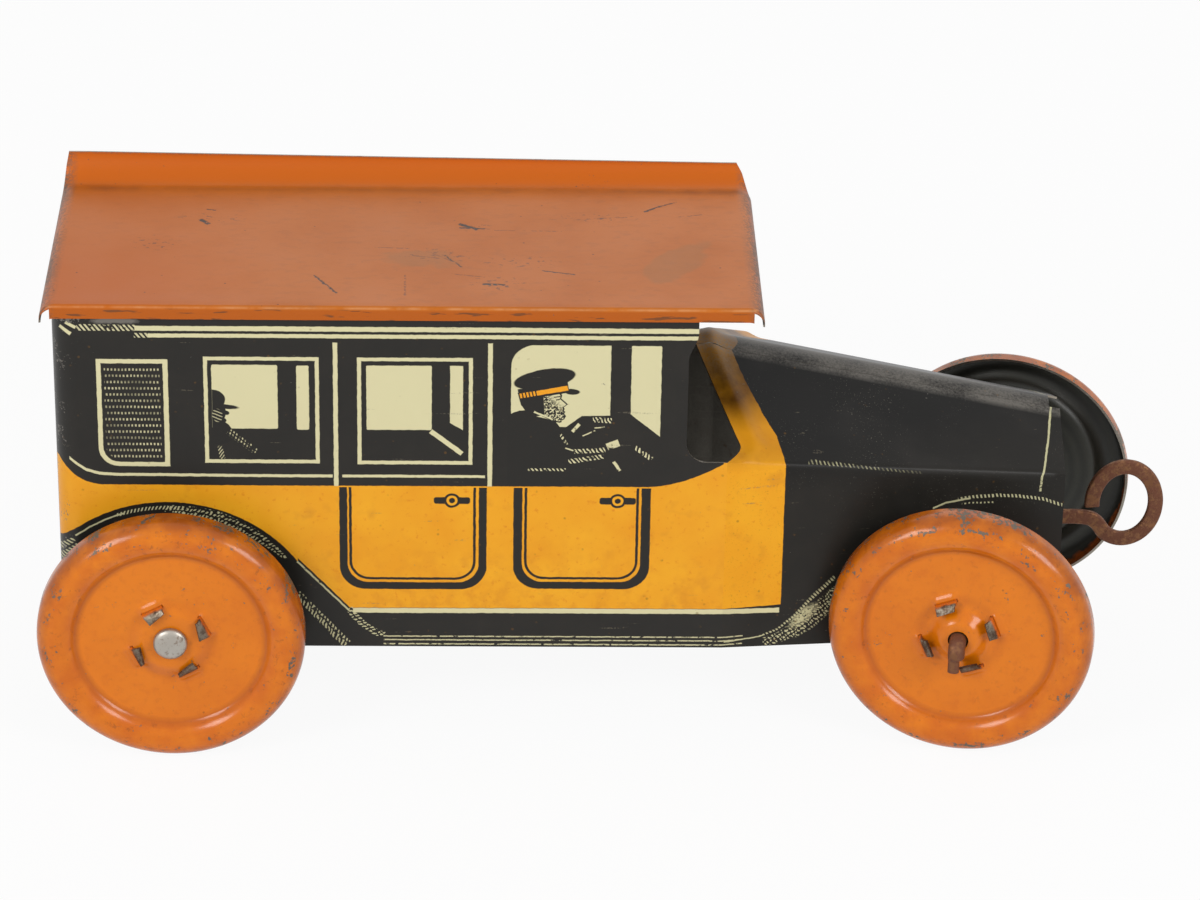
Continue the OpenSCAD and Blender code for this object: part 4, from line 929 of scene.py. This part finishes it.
def wheel_paint(name, side, front, seed):
    """Orange dip paint, painted darker as shade in the groove, round the boss and at the rim's outer edge (there
    partly dirt); chipped to grey along the rim, with dirt and rust spots.
    """
    f = Finish(name, (REAR_AXLE_X + seed, seed * 0.7, 0))
    f.x, f.y = f.x + seed, f.y + seed * 0.7
    radius, _, angle = wheel_frame(f, side, front)
    cloud, fine, patch = f.noise(0.05, 3), f.noise(1.1, 4, rough=0.65), f.noise(0.16, 3)
    # Painted shade: the groove round the disc and the foot of the boss are painted dark, and the last colour step
    # darkens the rim's outer edge, partly dirt too
    hollow_shade = (radius - 22.6).size().below(0.3, 1.1) * 0.7 + (radius - 9.5).size().below(0.3, 1.6) * 0.25
    rim = radius.over(23, 1.0)
    tone = f.colour((222, 122, 10), (cloud.between(0.4, 0.7), (214, 114, 8)),
                    (rim * patch.between(0.35, 0.65) * 0.8, (200, 98, 10)),
                    (f.noise(0.42, 4, rough=0.7).between(0.5, 0.74) * 0.4, (196, 98, 12)), (hollow_shade, (146, 62, 10)),
                    (radius.over(30.0, 1.4) * (0.3 + patch.between(0.35, 0.6) * 0.4), (138, 66, 20)))
    crest = (radius - 29.4).size().below(1.0, 2.4)
    tread = (radius - 31.2).between(0.0, 0.5)
    along = f.noise(0.42, 3, at=(angle * 13, radius * 1.1, seed))
    wear = (fine * 0.4 + along * 0.4 + patch * 0.2 + crest * 0.1 + tread * 0.07).between(0.622, 0.634)
    rust = f.cells(0.28).below(0.07, 0.04) * patch.between(0.5, 0.62)
    darkening = f.noise(0.5, 4, rough=0.7).between(0.58, 0.7) * (0.25 + rim * 0.4)
    tone = f.colour(tone, (darkening, (150, 76, 20)), (rust * 0.7, (118, 56, 22)), (wear, (108, 98, 86)))
    f.bump(f.noise(0.3, 2) * 0.5 + fine * 0.1 - wear * 0.8, 0.04)
    return f.set(base_color=tone, roughness=0.2 + (patch - 0.5) * 0.12 + wear * 0.3, metallic=wear * 0.5,
                 specular_ior_level=0.34)


def wheel_back(name, side, front):
    """Dark olive-black inside of the dish, with faint pressed rings painted lighter as highlights, and an orange
    run-over at its edge.
    """
    f = Finish(name)
    radius = wheel_frame(f, side, front)[0]
    rings = (radius * 2.1).do("SINE") * 0.5 + 0.5
    cloud, fine = f.noise(0.09, 3), f.noise(1.3, 3)
    lip = (radius + (f.noise(0.3, 2) - 0.5) * 1.6 - 30.6).between(0.0, 0.5)
    # Painted highlights: the pressed rings are painted lighter than the dark inside
    tone = f.colour((36, 36, 30), (cloud.between(0.4, 0.7), (28, 28, 24)), (rings * 0.2, (72, 72, 62)),
                    (lip, (172, 86, 26)))
    f.bump(rings * 0.4 + fine * 0.2, 0.05)
    return f.set(base_color=tone, roughness=0.4 + (fine - 0.5) * 0.2, metallic=0.25)


wheel_places = (("right_rear", -1, False, 27), ("left_rear", 1, False, 27), ("right_front", -1, True, 23),
                ("left_front", 1, True, 23))
for number, (name, side, front, turn) in enumerate(wheel_places):
    points, faces = dish(3.0, 7.6, turn) if front else dish(1.4, 10.2, turn)
    points = toy(on_axle(points, side, front))
    made = piece(name + "_wheel_dish", points, faces[:, ::-1], 50)
    pressed(made, WHEEL_SHEET, [slot_tool(k, side, front, turn) for k in range(4)], 50)
    for slot, finish in enumerate((wheel_paint(name + "_paint", side, front, 37.0 * number),
                                   wheel_back(name + "_back", side, front), tin_edge)):
        made.data.materials[slot] = finish
    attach(made, name + "_wheel" if front else "rear_axle")
    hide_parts(name + "_wheel")


# Hubs: a steel sleeve and flange behind each dish, with four tabs pushed through its slots and bent in over it.
# The tabs are raw metal, browned and a little crushed by the pliers that closed them.
def turned(profile, count):
    """A closed profile of radius and height, turned about the wheel's axis: (r cos a, r sin a, h)."""
    profile = np.asarray(list(profile) + [profile[0]], float)
    angle = np.linspace(0, 2 * np.pi, count, endpoint=False)
    grid = np.stack([profile[:, :1] * np.cos(angle), profile[:, :1] * np.sin(angle), profile[:, 1:] + 0 * angle], -1)
    return grid, quads(len(profile), count, True)


def swept(middle, first, second, outline):
    """An outline carried along a path: middle + u * first + v * second at each of its points, closed at both ends."""
    grid = middle[:, None] + outline[None, :, :1] * first[:, None] + outline[None, :, 1:] * second[:, None]
    ends = [np.repeat(grid[end].mean(0)[None, None], grid.shape[1], 1) for end in (0, -1)]
    grid = np.concatenate([ends[0], grid, ends[1]])
    return grid, quads(*grid.shape[:2], True)


def round_box(width, height, corner, count=4):
    """Outline of a box with rounded corners, run round against the clock."""
    angle = np.linspace(0, np.pi / 2, count)
    parts = [np.stack([sx * (width / 2 - corner) + corner * np.cos(angle + k * np.pi / 2),
                       sy * (height / 2 - corner) + corner * np.sin(angle + k * np.pi / 2)], -1)
             for k, (sx, sy) in enumerate(((1, 1), (-1, 1), (-1, -1), (1, -1)))]
    return np.concatenate(parts)


def steps(path):
    """Unit vectors along a path."""
    step = np.gradient(path, axis=0)
    return step / np.linalg.norm(step, axis=1, keepdims=True)


def hub_tab(k, turn, seed):
    """One tab: a flat strip that rises through the slot and is bent in, narrower and askew at its tip."""
    path = np.array([[0, -1.3], [0, 0], [0, 0.9], [-0.05, 1.4], [-0.3, 1.85], [-0.75, 2.2], [-1.3, 2.5],
                     [-1.75, 2.75]])
    lean = 0.5 * math.sin(seed * 5.1)
    step = steps(path)
    t = np.linspace(0, 1, len(path))
    wide = 1 - 0.16 * ease((t - 0.35) / 0.6)
    middle = np.stack([TAB_R + path[:, 0], lean * ease((t - 0.4) / 0.6), path[:, 1]], -1)
    first = np.stack([0.25 * math.cos(seed * 3.3) * ease((t - 0.4) / 0.6), wide, 0 * t], -1)
    second = np.stack([-step[:, 1], 0 * t, step[:, 0]], -1)
    grid, faces = swept(middle, first, second, round_box(TAB_W - 0.1, TAB_T, 0.18))
    return at_tab(grid, k, turn), faces


def worn_steel(name, colour, stain, rust, dull=0.42, share=0.5):
    """Old steel: grey metal with brown stains and matt rust that fills a share of it, pitted where it is rusty."""
    f = Finish(name)
    cloud, fine, patch = f.noise(0.13, 3), f.noise(1.8, 4, rough=0.65), f.noise(0.5, 3)
    rusty = (patch * 0.6 + fine * 0.4).between(0.66 - 0.3 * share, 0.76 - 0.3 * share)
    tone = f.colour(colour, (cloud.between(0.35, 0.7) * 0.7, stain), (rusty, rust),
                    (fine.between(0.6, 0.75) * 0.4, tuple(int(c * 0.6) for c in rust)))
    f.bump(fine * 0.7 + rusty * 0.5, 0.06)
    return f.set(base_color=tone, roughness=dull + rusty * 0.25 + (fine - 0.5) * 0.2, metallic=0.8 - rusty * 0.6)


def tab_metal(name, side, front):
    """Bare grey metal with brown stains at the tabs' tips, and orange paint left on their outer faces and feet."""
    f = Finish(name)
    radius, height, _ = wheel_frame(f, side, front)
    cloud, fine = f.noise(0.4, 3), f.noise(2.2, 4, rough=0.65)
    painted = (radius + (cloud - 0.5) * 1.6).over(9.0, 0.25) * (height + (cloud - 0.5) * 2.2).below(1.9, 0.3)
    stained = (fine * 0.5 + cloud * 0.5).between(0.43, 0.56)
    tone = f.colour((122, 112, 98), (stained, (70, 52, 38)), (painted, (206, 104, 14)),
                    (painted * fine.between(0.58, 0.66), (110, 98, 86)))
    f.bump(fine * 0.6 + cloud * 0.6, 0.08)
    return f.set(base_color=tone, roughness=0.36 + (fine - 0.5) * 0.3, metallic=0.7 - painted * 0.7)


for number, (name, side, front, turn) in enumerate(wheel_places):
    end = -8 if front else -11
    sleeve = [(2.05, end), (3.2, end), (3.35, end + 0.15), (3.35, -2.3), (4.35, -1.3), (10.6, -1.3), (10.7, -1.2),
              (10.7, -0.62), (2.05, -0.62)]
    points, faces = joined([turned(sleeve, 56)] + [hub_tab(k, turn, 4 * number + k) for k in range(4)])
    points = toy(on_axle(points, side, front))
    made = piece(name + "_hub_tabs", points, faces)
    made.data.materials.append(tab_metal(name + "_tab_metal", side, front))
    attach(made, name + "_wheel" if front else "rear_axle")
    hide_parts(name + "_hub")


# Rear axle: a plain steel rod, riveted over to a pale domed head outside each rear wheel.
def rear_axle_rod():
    """A profile of radius and height turned about the axle: dome, rod, dome. The dome is a quarter of an oval."""
    bend = np.linspace(0, np.pi / 2, 12)
    foot = REAR_DISC + 1.5
    dome = np.stack([4 * np.sin(bend) ** 0.8, foot + 0.7 + 1.4 * np.cos(bend)], -1)
    half = np.concatenate([dome, [[4, foot + 0.15], [3.85, foot], [2, foot], [2, 20]]])
    profile = np.concatenate([half, half[::-1] * [1, -1]])
    angle = np.linspace(0, 2 * np.pi, 64, endpoint=False)
    grid = np.stack([profile[:, :1] * np.cos(angle), profile[:, 1:] + 0 * angle,
                     AXLE_Z + profile[:, :1] * np.sin(angle)], -1)
    return grid, quads(len(profile), 64, True)


axle_points, axle_faces = rear_axle_rod()
rear_rod = piece("rear_axle_rod", toy(axle_points), axle_faces)
head_steel = worn_steel("axle_head_steel", (182, 178, 170), (164, 156, 146), (128, 112, 98), 0.4, 0.42)
rear_rod.data.materials.append(head_steel)
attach(rear_rod, "rear_axle")
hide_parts("rear_axle")


# Front axle: a rusty steel rod crimped inside each hub. Both ends are bent down and flattened outside the wheels.
def front_axle_rod():
    """A round outline carried along the axle and down round both elbows, squeezed flat towards its tips."""
    elbow, drop, bend = 50.2, 7.2, np.linspace(0, np.pi / 2, 8)
    end = np.concatenate([np.stack([np.full(13, elbow), np.linspace(-drop, -2.2, 13)], -1),
                          np.stack([elbow - 2.2 + 2.2 * np.cos(bend), -2.2 + 2.2 * np.sin(bend)], -1)[1:]])
    rod = np.concatenate([np.linspace(elbow - 3, 37.2, 10), [36.8, 36.5, 36.2, 35.5, 35.2, 34.8],
                          np.linspace(34, 0, 12)])
    half = np.concatenate([end, np.stack([rod, 0 * rod], -1)])
    path = np.concatenate([half, half[-2::-1] * [-1, 1]])
    step = steps(path)
    level, out = path[:, 1], np.abs(path[:, 0])
    tip = ease((-level - 3.0) / 1.1)
    crimp = 1 + 0.4 * ((out > 35.1) & (out < 36.7))
    first = np.stack([crimp * (1 - 0.32 * tip), 0 * tip, 0 * tip], -1)
    second = np.stack([0 * tip, -step[:, 1], step[:, 0]], -1) * (crimp * (1 - 0.42 * tip))[:, None]
    angle = np.linspace(0, 2 * np.pi, 28, endpoint=False)
    outline = np.stack([np.cos(angle), np.sin(angle)], -1)
    outline = 2 * np.sign(outline) * np.abs(outline) ** 0.8
    middle = np.stack([0.5 * tip * np.sign(path[:, 0]), path[:, 0], AXLE_Z + level], -1)
    grid, faces = swept(middle, first, second, outline)
    return np.stack([*steered(grid[..., 0], grid[..., 1]), grid[..., 2]], -1), faces


rod_points, rod_faces = front_axle_rod()
front_rod = piece("front_axle_rod", toy(rod_points), rod_faces, 50)
rusty_steel = worn_steel("rusty_steel", (134, 94, 64), (96, 58, 38), (106, 62, 40), 0.46, 0.75)
front_rod.data.materials.append(rusty_steel)
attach(front_rod, "front_axle")
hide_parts("front_axle")


# Winding key: a flat strip of rusty steel set in the arbor's slot, dipped and bent round into an oval loop.
KEY_Z, LOOP, LOOP_R, STRIP = 40.4, (230.7, 44.3), (7.8, 9.9), (3.7, 1.6)


def key_strip():
    """A rounded box carried along a path: the stem, a dip and most of an oval, smoothed by cutting corners."""
    turn = np.radians(np.arange(-126, 188, 4))
    loop = LOOP + LOOP_R * np.stack([np.cos(turn), np.sin(turn)], -1)
    path = np.concatenate([[[209.3, KEY_Z], [215, KEY_Z], [220.7, KEY_Z], [223.82, KEY_Z - 0.74]], loop])
    for _ in range(3):
        near, far = 0.75 * path[:-1] + 0.25 * path[1:], 0.25 * path[:-1] + 0.75 * path[1:]
        path = np.concatenate([path[:1], np.stack([near, far], 1).reshape(-1, 2), path[-1:]])
    step = steps(path)
    left = np.minimum(np.arange(len(path)), np.arange(len(path))[::-1])
    narrow = 1 - 0.25 * np.clip(1 - left / 4, 0, 1) ** 2
    middle = np.stack([path[:, 0], 0 * narrow, path[:, 1]], -1)
    first = np.stack([-step[:, 1], 0 * narrow, step[:, 0]], -1) * narrow[:, None]
    second = np.stack([0 * narrow, -narrow, 0 * narrow], -1)
    return swept(middle, first, second, round_box(*STRIP, 0.5, 5))


key_points, key_faces = key_strip()
key = piece("key_strip", toy(key_points), key_faces, 50)
key.data.materials.append(rusty_steel)
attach(key, "winder")
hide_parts("winding_key")


# Clockwork, plates and steering: the pieces inside and under the body keep their solids and get worn metal finishes.
# The nose and base plates are black-painted tin, the gears brass, the springs blued steel, the rest plain steel.
def painted_tin(name, colour):
    """Black paint over tin: cloudy, a little dusty, with bare chips."""
    f = Finish(name)
    cloud, fine = f.noise(0.1, 4), f.noise(1.2, 4, rough=0.65)
    chips = (fine * 0.6 + cloud * 0.4).between(0.63, 0.65)
    tone = f.colour(colour, (cloud.between(0.4, 0.75), (66, 60, 54)), (chips, BARE))
    f.bump(fine * 0.3 - chips, 0.03)
    return f.set(base_color=tone, roughness=0.42 + (fine - 0.5) * 0.2, metallic=chips * 0.6)


black_tin = painted_tin("black_tin", (44, 42, 40))
motor_steel = worn_steel("motor_steel", (150, 148, 144), (116, 104, 90), (104, 78, 58), 0.36, 0.3)
gear_brass = worn_steel("gear_brass", (186, 152, 82), (140, 108, 56), (96, 74, 44), 0.34, 0.3)
blue_steel = worn_steel("blue_steel", (88, 92, 104), (66, 66, 76), (80, 62, 52), 0.3, 0.3)
finishes = {**dict.fromkeys(("nose_plate", "base_plate"), black_tin),
            **dict.fromkeys(("great_wheel", "motor_pinion", "axle_pinion", "crown_wheel"), gear_brass),
            **dict.fromkeys(("mainspring", "click_spring"), blue_steel)}
for node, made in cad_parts.items():
    if not made.hide_render:
        for place in made.material_slots:
            place.material = finishes.get(node, motor_steel)


# Floor, light and camera: a pale floor under soft studio lamps, seen from the photograph's angle.
def two_looks(tree, output, lit, seen, share):
    """Mixes two shaders in a cleared tree: one that lights the car, and one for what is seen, also in a gloss."""
    tree.nodes.clear()
    path, mix = tree.nodes.new("ShaderNodeLightPath"), tree.nodes.new("ShaderNodeMixShader")
    rays = (Tone(tree, path.outputs[ray]) for ray in ("Is Camera Ray", "Is Transmission Ray", "Is Glossy Ray"))
    put(tree, mix.inputs[0], reduce(or_, rays) * share)
    for place, (kind, values) in zip((mix.inputs[1], mix.inputs[2]), (lit, seen)):
        shader = tree.nodes.new("ShaderNode" + kind)
        for name, value in values.items():
            put(tree, shader.inputs[name], value)
        put(tree, place, shader.outputs[0])
    put(tree, tree.nodes.new("ShaderNodeOutput" + output).inputs[0], mix.outputs[0])


def studio():
    """A wide floor and a world that are seen as white. The floor still takes a little of the car's shadow."""
    corners = 3 * np.array([[-1, -1, -0.0001], [1, -1, -0.0001], [1, 1, -0.0001], [-1, 1, -0.0001]])
    floor = piece("floor", corners, np.array([[0, 1, 2, 3]]))
    material = bpy.data.materials.new("pale_floor")
    world = bpy.context.scene.world or bpy.data.worlds.new("studio")
    bpy.context.scene.world = world
    material.use_nodes = world.use_nodes = True
    white = (1, 1, 1, 1)
    two_looks(material.node_tree, "Material", ("BsdfDiffuse", {"Color": (0.86, 0.86, 0.86, 1)}),
              ("Emission", {"Color": white, "Strength": 1.0}), 0.93)
    two_looks(world.node_tree, "World", ("Background", {"Color": white, "Strength": 0.45}),
              ("Background", {"Color": white, "Strength": 1.0}), 1.0)
    floor.data.materials.append(material)


def stand(name, data, side, up, back, place):
    """A lamp or camera at a place, with its three directions as the columns of its matrix."""
    turn = np.eye(4)
    turn[:3] = np.stack([side, up, back, place], -1)
    made = bpy.data.objects.new(name, data)
    made.matrix_world = Matrix(turn.tolist())
    bpy.context.scene.collection.objects.link(made)
    return made


def lamp(name, place, aim, size, power):
    """A square soft box at a place, turned towards its aim."""
    light = bpy.data.lights.new(name, "AREA")
    light.shape, light.size, light.energy = "SQUARE", size, power
    away = np.asarray(place, float) - aim
    away = away / np.linalg.norm(away)
    side = np.cross([0, 0, 1], away)
    side = side / np.linalg.norm(side)
    stand(name, light, side, np.cross(away, side), away, place)


def camera():
    """The photograph's own view: turned, raised and rolled by angles fitted to the toy's corners."""
    rise, swing, roll, far = math.radians(27.369), math.radians(-1.612), math.radians(1.057), 1.156
    aim = np.array([-0.0023, 0, 0.05799])
    back = np.array([math.sin(swing) * math.cos(rise), -math.cos(swing) * math.cos(rise), math.sin(rise)])
    right = np.array([math.cos(swing), math.sin(swing), 0])
    up = np.cross(back, right)
    c, s = math.cos(roll), math.sin(roll)
    lens = bpy.data.cameras.new("photo_camera")
    lens.sensor_width, lens.lens, lens.clip_start, lens.clip_end = 36, 142.55, 0.05, 20
    bpy.context.scene.camera = stand("photo_camera", lens, c * right + s * up, c * up - s * right, back,
                                     aim + far * back)


studio()
lamp("key_lamp", (-0.9, -0.9, 0.75), (0, 0, 0.05), 0.5, 8)
lamp("fill_lamp", (0.9, -0.9, 0.75), (0, 0, 0.05), 0.5, 7.2)
lamp("back_lamp", (0.2, 0.9, 0.9), (0, 0, 0.05), 0.9, 1.5)
camera()
bpy.context.scene.view_settings.view_transform = "Standard"
